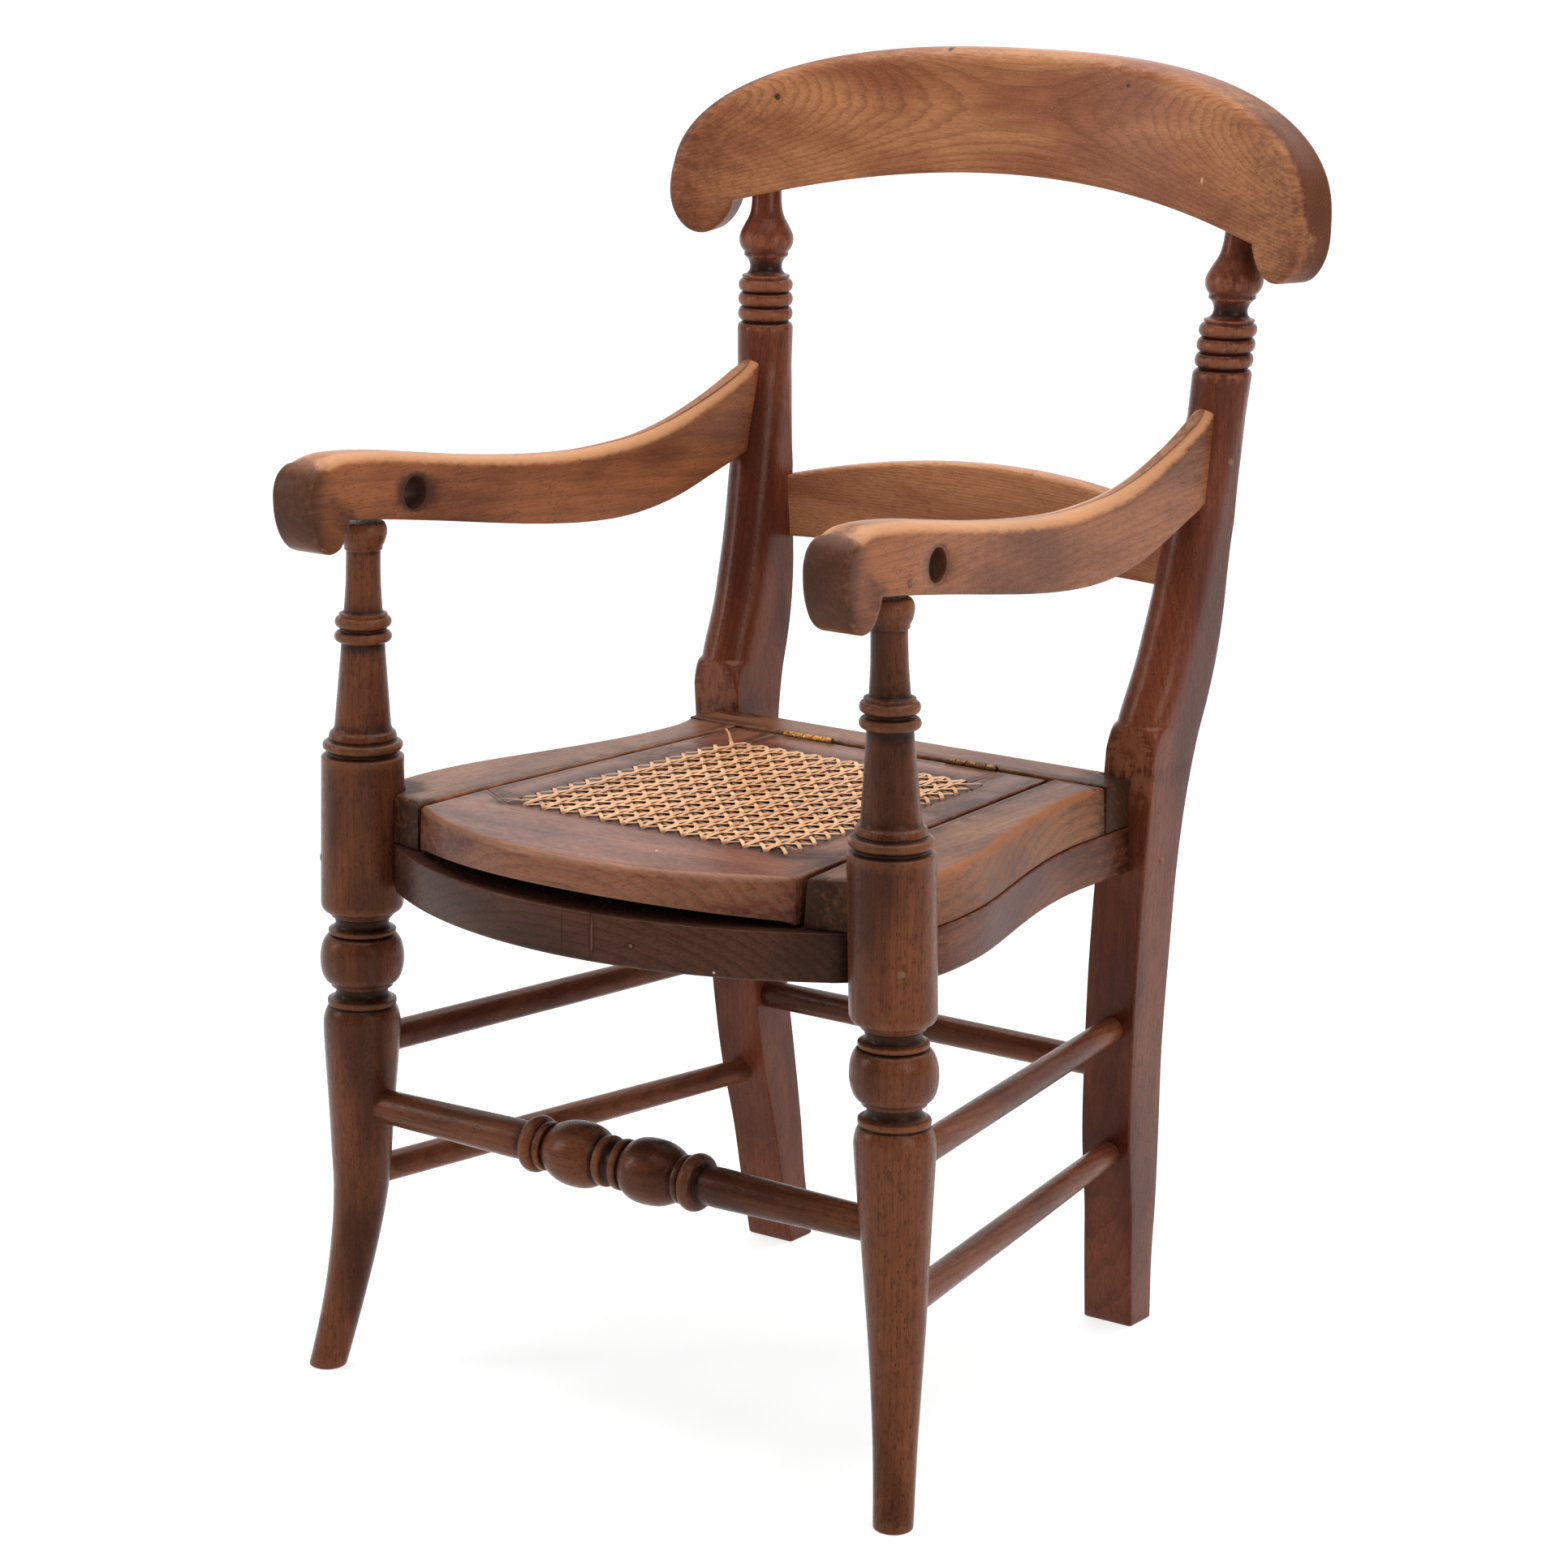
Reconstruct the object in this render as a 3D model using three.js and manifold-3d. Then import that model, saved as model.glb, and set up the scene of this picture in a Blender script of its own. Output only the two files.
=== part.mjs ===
// Child's commode armchair in turned and sawn beech, with a hinged, caned lid let into the seat.
// Millimetres. +Z is up and the chair faces -Y. Left and right are as seen from the front, so the
// right side is +X. The origin is on the floor under the middle of the chair's bounding box.
import * as THREE from "three";
import { mergeVertices } from "three/addons/utils/BufferGeometryUtils.js";
import Module from "manifold-3d";

// ---- Driving dimensions ----------------------------------------------------------------------

const GAP = 0.3; // joint line left between pieces that touch
const DEPTH_MIDDLE = 5.42; // middle of the chair's depth, in the Y used below

// Seat: an upper layer of boards with the lid between them, on a lower layer of rails.
const SEAT_TOP = 286;
const UPPER_THICKNESS = 22.7;
const LOWER_THICKNESS = 22.4;
const UPPER_BOTTOM = SEAT_TOP - UPPER_THICKNESS;
const LOWER_TOP = UPPER_BOTTOM - GAP;
const LOWER_BOTTOM = LOWER_TOP - LOWER_THICKNESS;

// The saw cut between the lid and a side board runs back and inwards.
const SLOT_FRONT = { x: 107.8, y: -147 };
const SLOT_REAR = { x: 92.8, y: 78 };
const SLOT_WIDTH = 2.8;
const LID_REAR_Y = 77.3;
const REAR_BOARD_FRONT_Y = 81.7;
const REAR_BOARD_BACK_Y = 108;

// Front legs: turned in one piece from the floor to the arm.
const FRONT_LEG_TOP = 413.2;
const FRONT_LEG_MIDDLE = { x: 152.5, y: -137.3, z: 183 };
const FRONT_LEG_LEAN = { x: -0.0265, y: -0.0128 };
const SABRE_HEIGHT = 95;
const SABRE_KICK = { x: 7.7, y: -15.8 };
const SABRE_SHARPNESS = 1.55;
const LEG_CYLINDER_RADIUS = 19.5;
const LEG_TENON = { radius: 6.5, top: 433 };

// Rear legs: sawn planks that splay outwards, turned above the arms and tenoned into the crest.
const REAR_LEG_WIDTH = 27.5;
const REAR_LEG_INNER_X = 90;
const REAR_LEG_SPLAY = 0.0636;
const REAR_LEG_SEAT_Y = 102.2;
const REAR_LEG_ARRIS = 1.2; // radius of its long edges
const REAR_LEG_ROUNDING = { start: 402, height: 53 }; // where its back edges turn round
const TONGUE_BOTTOM = 290;
const TONGUE_TOP = 312;
const TURNED = { bottom: 455, x: 132.7, y: 155.9, leanX: 0.061, leanY: 0.0875 };
const CREST_TENON = { radius: 6, bottom: 533, top: 562 };

// Arms, with a hole through each for a retaining rod.
const ROD_HOLE = { y: -118, z: 425, radius: 7.75, innerX: 100, outerX: 180 };
const ARM_CROWN = 0.55; // radius of the arm's top edges, as a share of half its width
const ARM_ARRIS = 1.5; // radius of its lower edges
const ARM_TENON = { inner: 129, outer: 136, front: 130, back: 149, bottom: 426, top: 448 };

// Crest and back rail: both are bowed backwards in plan.
const BACK_BOW = 0.00104;
const CREST_LEAN = 0.0875; // backwards, for each unit of height above CREST_LEAN_START
const CREST_LEAN_START = 545;
const CREST_FRONT_Y = 174;
const CREST_THICKNESS = 20.5;
const CREST_HALF_WIDTH = 182.6;
const CREST_SHOULDER = 552; // height of the crest's top edge at its two ends
const CREST_RISE = { height: 68.5, fullness: 2.55, roundness: 0.46 };
const CREST_ARCH = { top: 560, rise: 21 }; // the lower edge, between the ears
const CREST_EDGE_RADII = [3, 8, 1.5, 1.5]; // back top, front top, front bottom, back bottom
const BACK_RAIL_FRONT_Y = 166.8;
const BACK_RAIL_THICKNESS = 11.5;
const BACK_RAIL = { bottom: 370, top: 416, drop: 14.5, dropX: 116, endX: 124, stations: 8 };
const BACK_RAIL_EDGE_RADII = [2.5, 2.5, 1.5, 1.5];
const BACK_RAIL_TENON = { x: 118, back: -8, end: 6, half: 3, bottom: 374, top: 400 };

// Pot board, cane panel and hinges.
const POT_HOLE = { y: -42, radius: 62 };
const POT_BOARD_TOP = LOWER_BOTTOM + 14;
const CANE = { frontX: 80, frontY: -119, rearX: 74.5, rearY: 50, thickness: 1.6 };
const HINGE = { x: 48.15, length: 28.7, y: 79.5, z: 286.3, radius: 1.9, knuckles: 5 };

// ---- Materials -------------------------------------------------------------------------------

function wood(color, roughness) {
  return new THREE.MeshStandardMaterial({ color, roughness, metalness: 0 });
}

const legWood = wood(0x6f4630, 0.42);
const stileWood = wood(0x7a4429, 0.36);
const armWood = wood(0x99663f, 0.45);
const seatWood = wood(0x8d7355, 0.6);
const lidWood = wood(0x8a5638, 0.5);
const railWood = wood(0x4d3224, 0.55);
const pegWood = wood(0x3c261a, 0.55);
const caneFibre = wood(0xc0813f, 0.5);
const brass = new THREE.MeshStandardMaterial({ color: 0xa68a4a, roughness: 0.4, metalness: 1 });

// ---- Solids ----------------------------------------------------------------------------------

const wasm = await Module();
wasm.setup();

function toSolid(geometry) {
  const bare = geometry.clone();
  bare.deleteAttribute("normal");
  bare.deleteAttribute("uv");
  const merged = mergeVertices(bare, 1e-4);
  const vertProperties = new Float32Array(merged.attributes.position.array);
  const triVerts = new Uint32Array(merged.index.array);
  return new wasm.Manifold(new wasm.Mesh({ numProp: 3, vertProperties, triVerts }));
}

function toGeometry(solid) {
  const mesh = solid.getMesh();
  const geometry = new THREE.BufferGeometry();
  geometry.setAttribute("position", new THREE.BufferAttribute(mesh.vertProperties, 3));
  geometry.setIndex(new THREE.BufferAttribute(mesh.triVerts, 1));
  geometry.computeVertexNormals();
  return geometry;
}

function cut(geometry, ...tools) {
  let solid = toSolid(geometry);
  for (const tool of tools) {
    solid = solid.subtract(toSolid(tool));
  }
  return toGeometry(solid);
}

function join(...pieces) {
  let solid = toSolid(pieces[0]);
  for (const piece of pieces.slice(1)) {
    solid = solid.add(toSolid(piece));
  }
  return toGeometry(solid);
}

function mirrored(geometry) {
  const copy = geometry.clone();
  copy.scale(-1, 1, 1);
  if (!copy.index) {
    copy.setIndex([...Array(copy.attributes.position.count).keys()]);
  }
  const index = copy.index.array;
  for (let i = 0; i < index.length; i += 3) {
    [index[i + 1], index[i + 2]] = [index[i + 2], index[i + 1]];
  }
  return copy;
}

// Turned work about the Z axis. The profile is a list of [height, radius], from the bottom up.
function turned(profile, sides) {
  const bottom = profile[0][0];
  const top = profile[profile.length - 1][0];
  const points = profile.map(([z, radius]) => new THREE.Vector2(radius, z));
  const closed = [new THREE.Vector2(0, bottom), ...points, new THREE.Vector2(0, top)];
  return new THREE.LatheGeometry(closed, sides).rotateX(Math.PI / 2);
}

// A round rod from one point to another, with its radius at each end.
function rod(start, end, startRadius, endRadius, sides = 12) {
  const length = start.distanceTo(end);
  const geometry = new THREE.CylinderGeometry(endRadius, startRadius, length, sides);
  const direction = end.clone().sub(start).normalize();
  const turn = new THREE.Quaternion().setFromUnitVectors(new THREE.Vector3(0, 1, 0), direction);
  const middle = start.clone().add(end).multiplyScalar(0.5);
  return geometry.applyQuaternion(turn).translate(middle.x, middle.y, middle.z);
}

function box(low, high) {
  const size = high.clone().sub(low);
  const middle = low.clone().add(high).multiplyScalar(0.5);
  return new THREE.BoxGeometry(size.x, size.y, size.z).translate(middle.x, middle.y, middle.z);
}

// A flat board between two heights.
function board(shape, bottom, top, curveSegments = 10) {
  const options = { depth: top - bottom, bevelEnabled: false, curveSegments };
  return new THREE.ExtrudeGeometry(shape, options).translate(0, 0, bottom);
}

// A solid that runs through a list of sections, each a loop of the same number of points. The
// loops run anticlockwise when the solid comes towards the eye.
function loft(sections) {
  const sides = sections[0].length;
  const rings = sections.length - 1;
  const geometry = new THREE.CylinderGeometry(1, 1, 1, sides, rings);
  const places = geometry.attributes.position;
  const place = new THREE.Vector3();
  for (let i = 0; i < places.count; i += 1) {
    place.fromBufferAttribute(places, i);
    const section = sections[Math.round((place.y + 0.5) * rings)];
    const side = Math.round((Math.atan2(place.x, place.z) / (2 * Math.PI)) * sides);
    const onAxis = Math.hypot(place.x, place.z) < 0.5;
    const moved = onAxis ? middleOf(section) : section[(side + sides) % sides];
    places.setXYZ(i, moved.x, moved.y, moved.z);
  }
  return geometry;
}

function middleOf(section) {
  const sum = new THREE.Vector3();
  for (const point of section) {
    sum.add(point);
  }
  return sum.divideScalar(section.length);
}

// The outline of a rounded rectangle, centred on the origin, as [across, up] pairs. The four
// corner radii start at (+across, +up) and go anticlockwise.
function roundedOutline(halfAcross, halfUp, radii, cornerSteps) {
  const outline = [];
  const signs = [[1, 1], [-1, 1], [-1, -1], [1, -1]];
  signs.forEach(([signAcross, signUp], corner) => {
    const radius = Math.min(radii[corner], halfAcross, halfUp);
    for (let step = 0; step <= cornerSteps; step += 1) {
      const angle = (corner + step / cornerSteps) * (Math.PI / 2);
      const across = signAcross * (halfAcross - radius) + radius * Math.cos(angle);
      const up = signUp * (halfUp - radius) + radius * Math.sin(angle);
      outline.push([across, up]);
    }
  });
  return outline;
}

// Straight-line interpolation in a list of [position, value].
function valueAt(table, position) {
  const last = table[table.length - 1];
  const next = table.findIndex(([at]) => at >= position);
  if (next === 0) {
    return table[0][1];
  }
  if (next < 0) {
    return last[1];
  }
  const [startAt, startValue] = table[next - 1];
  const [endAt, endValue] = table[next];
  const share = (position - startAt) / (endAt - startAt);
  return startValue + share * (endValue - startValue);
}

function slotX(y) {
  const share = (y - SLOT_FRONT.y) / (SLOT_REAR.y - SLOT_FRONT.y);
  return SLOT_FRONT.x + share * (SLOT_REAR.x - SLOT_FRONT.x);
}

// ---- Front leg (right) -----------------------------------------------------------------------

function frontLegAxis(z) {
  const rise = z - FRONT_LEG_MIDDLE.z;
  const kick = Math.max(0, (SABRE_HEIGHT - z) / SABRE_HEIGHT) ** SABRE_SHARPNESS;
  const x = FRONT_LEG_MIDDLE.x + FRONT_LEG_LEAN.x * rise + SABRE_KICK.x * kick;
  const y = FRONT_LEG_MIDDLE.y + FRONT_LEG_LEAN.y * rise + SABRE_KICK.y * kick;
  return new THREE.Vector3(x, y, z);
}

const FRONT_LEG_PROFILE = [
  [0, 9], [33, 9.9], [66, 11.7], [100, 13.9], [130, 15.7], [168, 18.2], [176.5, 17.5],
  [180.2, 16], [183, 16.2], [186, 15.2], [188, 12.1], [190.8, 15.1], [192.6, 15], [196, 17.4],
  [201, 19.4], [206, 19.8], [211, 18.4], [215.6, 15.8], [217, 13], [220, 12.4], [223, 13.4],
  [225.5, 16], [228, 18], [230.5, LEG_CYLINDER_RADIUS], [302.5, LEG_CYLINDER_RADIUS],
  [304.5, 17], [308.4, 18.9], [310.5, 15.6], [313, 16.3], [317.5, 13.2], [356.7, 10.2],
  [358.5, 12.6], [361, 13.5], [363.3, 11.5], [366.5, 13.2], [369.5, 11.6], [371.5, 9],
  [384, 8.1], [400, 8], [403, 8.7], [405, 10], [409.5, 11], [FRONT_LEG_TOP, 9.6],
];

function leanLeg(geometry) {
  const places = geometry.attributes.position;
  for (let i = 0; i < places.count; i += 1) {
    const axis = frontLegAxis(places.getZ(i));
    places.setX(i, places.getX(i) + axis.x);
    places.setY(i, places.getY(i) + axis.y);
  }
  return geometry;
}

function frontLeg() {
  const tenon = [[FRONT_LEG_TOP, LEG_TENON.radius], [LEG_TENON.top, LEG_TENON.radius]];
  return leanLeg(turned([...FRONT_LEG_PROFILE, ...tenon], 12));
}

function legTenonSocket() {
  const radius = LEG_TENON.radius + GAP;
  return leanLeg(turned([[FRONT_LEG_TOP - 10, radius], [LEG_TENON.top + GAP, radius]], 12));
}

// The seat boards are notched around the leg's cylinder.
function legNotch() {
  const start = frontLegAxis(LOWER_BOTTOM - 5);
  const end = frontLegAxis(SEAT_TOP + 5);
  const radius = LEG_CYLINDER_RADIUS + GAP + 0.2;
  return rod(start, end, radius, radius, 24);
}

// ---- Rear leg (right) ------------------------------------------------------------------------

const REAR_LEG_FRONT = [
  [0, 130], [36, 124], [60, 120.5], [100, 112], [150, 106.5], [190, 103.6], [230, 102.6],
  [304, 102.6], [312, 101.6], [326, 107.7], [338, 113.7], [354, 118.7], [370, 123.3],
  [402, 130.7], [455, 141.9],
];
const REAR_LEG_BACK = [
  [0, 149], [36, 145], [60, 144], [100, 140.5], [145, 136], [200, 134.5], [245, 134.5],
  [285, 139], [304, 143.5], [320, 149], [335, 154], [350, 155.5], [402, 157.5], [455, 169.9],
];
const REAR_LEG_HEIGHTS = [
  0, 36, 60, 100, 150, 190, 230, 290, 300, 308, 312, 326, 338, 354, 370, 402, 420, 438, 455,
];
const STILE_TURNING = [
  [475, 14.2], [479, 11.8], [482.6, 14], [486.2, 11.8], [489.9, 14], [493.6, 11.8], [496.9, 14],
  [501.4, 11.8], [503, 9.4], [506.8, 8], [511.5, 9], [513.8, 11.2], [516.5, 13.2], [520, 13.9],
  [525, 12.6], [530, 9.6], [535, 7.9], [552, 7.3],
];

function rearLegSection(z, grow) {
  const innerX = REAR_LEG_INNER_X + REAR_LEG_SPLAY * z;
  const frontY = valueAt(REAR_LEG_FRONT, z);
  const backY = valueAt(REAR_LEG_BACK, z);
  const half = REAR_LEG_WIDTH / 2;
  const tongue = THREE.MathUtils.clamp((z - TONGUE_BOTTOM) / (TONGUE_TOP - TONGUE_BOTTOM), 0, 1);
  const frontRadius = Math.max(REAR_LEG_ARRIS, half * (1 - Math.sqrt(1 - tongue * tongue)));
  const { start, height } = REAR_LEG_ROUNDING;
  const backShare = THREE.MathUtils.clamp((z - start) / height, 0, 1);
  const backRadius = Math.max(REAR_LEG_ARRIS, half * backShare);
  const radii = [backRadius, backRadius, frontRadius, frontRadius].map((radius) => radius + grow);
  const outline = roundedOutline(half + grow, (backY - frontY) / 2 + grow, radii, 3);
  const middleX = innerX + half;
  const middleY = (frontY + backY) / 2;
  return outline.map(([x, y]) => new THREE.Vector3(middleX + x, middleY + y, z));
}

function turnedAxis(z) {
  const rise = z - TURNED.bottom;
  return new THREE.Vector3(TURNED.x + TURNED.leanX * rise, TURNED.y + TURNED.leanY * rise, z);
}

function turnedSection(z, radius) {
  const axis = turnedAxis(z);
  const outline = roundedOutline(radius, radius, [radius, radius, radius, radius], 3);
  return outline.map(([x, y]) => new THREE.Vector3(axis.x + x, axis.y + y, z));
}

function rearLegBlank(grow) {
  const plank = REAR_LEG_HEIGHTS.map((z) => rearLegSection(z, grow));
  const turning = STILE_TURNING.map(([z, radius]) => turnedSection(z, radius + grow));
  return loft([...plank, ...turning]);
}

function crestTenon(grow) {
  const radius = CREST_TENON.radius + grow;
  const start = turnedAxis(CREST_TENON.bottom);
  const end = turnedAxis(CREST_TENON.top + grow);
  return rod(start, end, radius, radius, 12);
}

// ---- Arm (right) -----------------------------------------------------------------------------

const ARM_TOP = [
  [-190, 431], [-189, 435.5], [-186, 440.5], [-181, 444.5], [-174, 447], [-163, 448], [-136, 446],
  [-102, 441], [-67, 436], [-30, 432], [3, 430], [30, 430.5], [55, 432.5], [80, 437.5],
  [106, 445.5], [123, 452], [150, 464],
];
const ARM_BOTTOM = [
  [-190, 428], [-189, 420], [-186, 412], [-181, 405.5], [-174, 402.8], [-168, 404.5],
  [-163, 410.5], [-161.4, 417.4], [-136, 414.6], [-101, 409.5], [-66, 404], [-30, 398.7],
  [4, 395], [32, 393.8], [55, 395], [80, 399], [107, 406.5], [132, 413.8], [150, 420],
];
const ARM_STATIONS = [
  -190, -189, -186, -181, -174, -168, -163, -161.4, -136, -102, -67, -30, 3, 30, 55, 80, 106, 123,
  136, 150,
];
const ARM_INNER = [[-190, 135.4], [-140, 134.2], [150, 127]];
const ARM_OUTER = [[-190, 158.6], [-140, 158], [0, 148.4], [150, 138.2]];

function armSection(y) {
  const inner = valueAt(ARM_INNER, y);
  const outer = valueAt(ARM_OUTER, y);
  const top = valueAt(ARM_TOP, y);
  const bottom = valueAt(ARM_BOTTOM, y);
  const halfWidth = (outer - inner) / 2;
  const topRadius = ARM_CROWN * halfWidth;
  const radii = [topRadius, ARM_ARRIS, ARM_ARRIS, topRadius];
  const outline = roundedOutline((top - bottom) / 2, halfWidth, radii, 2);
  const middleX = (inner + outer) / 2;
  const middleZ = (top + bottom) / 2;
  return outline.map(([z, x]) => new THREE.Vector3(middleX + x, y, middleZ + z));
}

function rodHole() {
  const { y, z, radius, innerX, outerX } = ROD_HOLE;
  const start = new THREE.Vector3(innerX, y, z);
  const end = new THREE.Vector3(outerX, y, z);
  return rod(start, end, radius, radius, 24);
}

function armTenon(grow) {
  const { inner, outer, front, back, bottom, top } = ARM_TENON;
  const low = new THREE.Vector3(inner - grow, front, bottom - grow);
  const high = new THREE.Vector3(outer + grow, back + grow, top + grow);
  return box(low, high);
}

// ---- Crest and back rail ---------------------------------------------------------------------

function bowedFrame(x, frontY) {
  const slope = Math.atan(2 * BACK_BOW * x);
  const front = new THREE.Vector3(x, frontY - BACK_BOW * x * x, 0);
  const backwards = new THREE.Vector3(Math.sin(slope), Math.cos(slope), 0);
  return { front, backwards };
}

function bowedSection(x, frontY, thickness, bottom, top, radii) {
  const { front, backwards } = bowedFrame(x, frontY);
  const outline = roundedOutline(thickness / 2, (top - bottom) / 2, radii, 2);
  return outline.map(([across, up]) => {
    const point = front.clone().addScaledVector(backwards, thickness / 2 + across);
    return point.setZ((bottom + top) / 2 + up);
  });
}

function crestTop(x) {
  const share = Math.abs(x) / CREST_HALF_WIDTH;
  const { height, fullness, roundness } = CREST_RISE;
  return CREST_SHOULDER + height * (1 - share ** fullness) ** roundness;
}

// The lower edge arches up between two rounded ears, one at each end.
const EAR = { inner: 149.6, middle: 166.1, halfWidth: 16.5, middleZ: 546, drop: 24 };

function crestBottom(x) {
  const reach = Math.abs(x);
  const arch = CREST_ARCH.top - CREST_ARCH.rise * (reach / EAR.inner) ** 2;
  if (reach < EAR.inner) {
    return arch;
  }
  const across = Math.min(1, Math.abs((reach - EAR.middle) / EAR.halfWidth));
  return EAR.middleZ - EAR.drop * Math.sqrt(1 - across * across);
}

const CREST_STATIONS = [
  0, 30, 60, 85, 107, 126, 140, 149.5, 150, 154, 160, 166, 172, 177, 180, 181.9, 182.5,
];

function crestRail() {
  const positive = CREST_STATIONS.slice(1);
  const stations = [...positive.map((x) => -x).reverse(), ...CREST_STATIONS];
  const sections = stations.map((x) => {
    const [bottom, top] = [crestBottom(x), crestTop(x)];
    return bowedSection(x, CREST_FRONT_Y, CREST_THICKNESS, bottom, top, CREST_EDGE_RADII);
  });
  for (const point of sections.flat()) {
    point.y += CREST_LEAN * (point.z - CREST_LEAN_START);
  }
  return loft(sections);
}

function backRailBlank() {
  const { bottom, top, drop, dropX, endX, stations } = BACK_RAIL;
  const sections = [];
  for (let i = 0; i <= stations; i += 1) {
    const x = endX * ((2 * i) / stations - 1);
    const edge = top - drop * (x / dropX) ** 2;
    const [front, thickness] = [BACK_RAIL_FRONT_Y, BACK_RAIL_THICKNESS];
    sections.push(bowedSection(x, front, thickness, bottom, edge, BACK_RAIL_EDGE_RADII));
  }
  return loft(sections);
}

function backRailTenon(grow) {
  const { x, back, end, half, bottom, top } = BACK_RAIL_TENON;
  const { front, backwards } = bowedFrame(x, BACK_RAIL_FRONT_Y);
  const middle = front.addScaledVector(backwards, BACK_RAIL_THICKNESS / 2);
  const low = new THREE.Vector3(back, -half - grow, bottom - grow);
  const high = new THREE.Vector3(end + grow, half + grow, top + grow);
  return box(low, high).translate(middle.x, middle.y, 0);
}

// ---- Seat boards and rails -------------------------------------------------------------------

// The serpentine edge of the seat, from the front leg to the rear leg.
const SEAT_SIDE = [
  [153, -118], [154.5, -104], [154, -88], [151.5, -68], [147, -48], [139.8, -22], [132, 8],
  [126.8, 35], [124.6, 58], [124.3, 81.4],
];
const SEAT_SIDE_END = [124.3, REAR_LEG_SEAT_Y];
const SEAT_FRONT_BLOCK = [[131, -139.5], [150, -132]]; // the front edge, to inside the leg
const UPPER_INSET = 2; // how far the upper boards stand in from the lower rails

function seatSideCurve(inset) {
  const points = SEAT_SIDE.map(([x, y]) => new THREE.Vector2(x - inset, y));
  return new THREE.SplineCurve(points).getPoints(16);
}

function polygon(points) {
  return new THREE.Shape(points.map(([x, y]) => new THREE.Vector2(x, y)));
}

function seatSideBoard() {
  const inner = (y) => slotX(y) + SLOT_WIDTH / 2;
  const back = REAR_BOARD_FRONT_Y - GAP;
  const outer = seatSideCurve(UPPER_INSET).map((point) => [point.x, point.y]);
  const start = [inner(SLOT_FRONT.y), SLOT_FRONT.y];
  const shape = polygon([start, ...SEAT_FRONT_BLOCK, ...outer, [inner(back), back]]);
  return cut(board(shape, UPPER_BOTTOM, SEAT_TOP), legNotch());
}

const RAIL_LEDGE = 10; // how far the lower side rails reach in under the lid
const SIDE_RAIL_FRONT_Y = -118;
const FRONT_RAIL = { cornerX: 132, cornerY: -139.5, frontY: -184, backX: 136, backY: -118.3 };
const REAR_RAIL = { endX: 104.8, frontY: 103.4, backY: 128 };

function seatSideRail() {
  const inner = (y) => slotX(y) - RAIL_LEDGE;
  const outer = seatSideCurve(0).map((point) => [point.x, point.y]);
  const shape = polygon([
    [inner(SIDE_RAIL_FRONT_Y), SIDE_RAIL_FRONT_Y], ...outer, SEAT_SIDE_END,
    [inner(REAR_LEG_SEAT_Y), REAR_LEG_SEAT_Y],
  ]);
  return board(shape, LOWER_BOTTOM, LOWER_TOP);
}

// The rear board runs across the ends of the side boards and steps back between the legs.
const REAR_BOARD = { endX: 123.3, betweenLegsX: 106.2 };

function seatRearBoard() {
  const { endX, betweenLegsX } = REAR_BOARD;
  const shape = polygon([
    [-endX, REAR_BOARD_FRONT_Y], [endX, REAR_BOARD_FRONT_Y], [endX, REAR_LEG_SEAT_Y],
    [betweenLegsX, REAR_LEG_SEAT_Y], [betweenLegsX, REAR_BOARD_BACK_Y],
    [-betweenLegsX, REAR_BOARD_BACK_Y], [-betweenLegsX, REAR_LEG_SEAT_Y], [-endX, REAR_LEG_SEAT_Y],
  ]);
  return board(shape, UPPER_BOTTOM, SEAT_TOP);
}

// A shape whose front edge is an arc that bulges towards -Y between two corners at the same Y.
function bowFronted(cornerX, cornerY, frontY, rest) {
  const rise = cornerY - frontY;
  const radius = (cornerX * cornerX + rise * rise) / (2 * rise);
  const centreY = frontY + radius;
  const half = Math.asin(cornerX / radius);
  const shape = new THREE.Shape();
  shape.moveTo(-cornerX, cornerY);
  shape.absarc(0, centreY, radius, -Math.PI / 2 - half, -Math.PI / 2 + half, false);
  for (const [x, y] of rest) {
    shape.lineTo(x, y);
  }
  return shape;
}

function seatFrontRail() {
  const { cornerX, cornerY, frontY, backX, backY } = FRONT_RAIL;
  const shape = bowFronted(cornerX, cornerY, frontY, [[backX, backY], [-backX, backY]]);
  const notch = legNotch();
  return cut(board(shape, LOWER_BOTTOM, LOWER_TOP, 24), notch, mirrored(notch));
}

function seatRearRail() {
  const { endX, frontY, backY } = REAR_RAIL;
  const low = new THREE.Vector3(-endX, frontY, LOWER_BOTTOM);
  const high = new THREE.Vector3(endX, backY, LOWER_TOP);
  return box(low, high);
}

function potBoard() {
  const edge = (y) => slotX(y) - RAIL_LEDGE - GAP;
  const front = SIDE_RAIL_FRONT_Y + GAP;
  const back = REAR_LEG_SEAT_Y;
  const shape = polygon([
    [-edge(front), front], [edge(front), front], [edge(back), back], [-edge(back), back],
  ]);
  const hole = new THREE.Path();
  hole.absarc(0, POT_HOLE.y, POT_HOLE.radius, 0, 2 * Math.PI, true);
  shape.holes.push(hole);
  return board(shape, LOWER_BOTTOM, POT_BOARD_TOP, 32);
}

// ---- Lid -------------------------------------------------------------------------------------

const LID_FRONT_Y = -183;
const LID_CORNER_Y = -148.5;
const LID_JOINT = { sideY: -103, pointX: 80, pointY: -118.5 };
const LID_OPENING = { frontX: 72, frontY: -111, rearX: 67, rearY: 42 };
const FINGER_GAP = { endHeight: 2.2, middleHeight: 7.8, back: -150 };

function lidEdge(y) {
  return slotX(y) - SLOT_WIDTH / 2;
}

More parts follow.
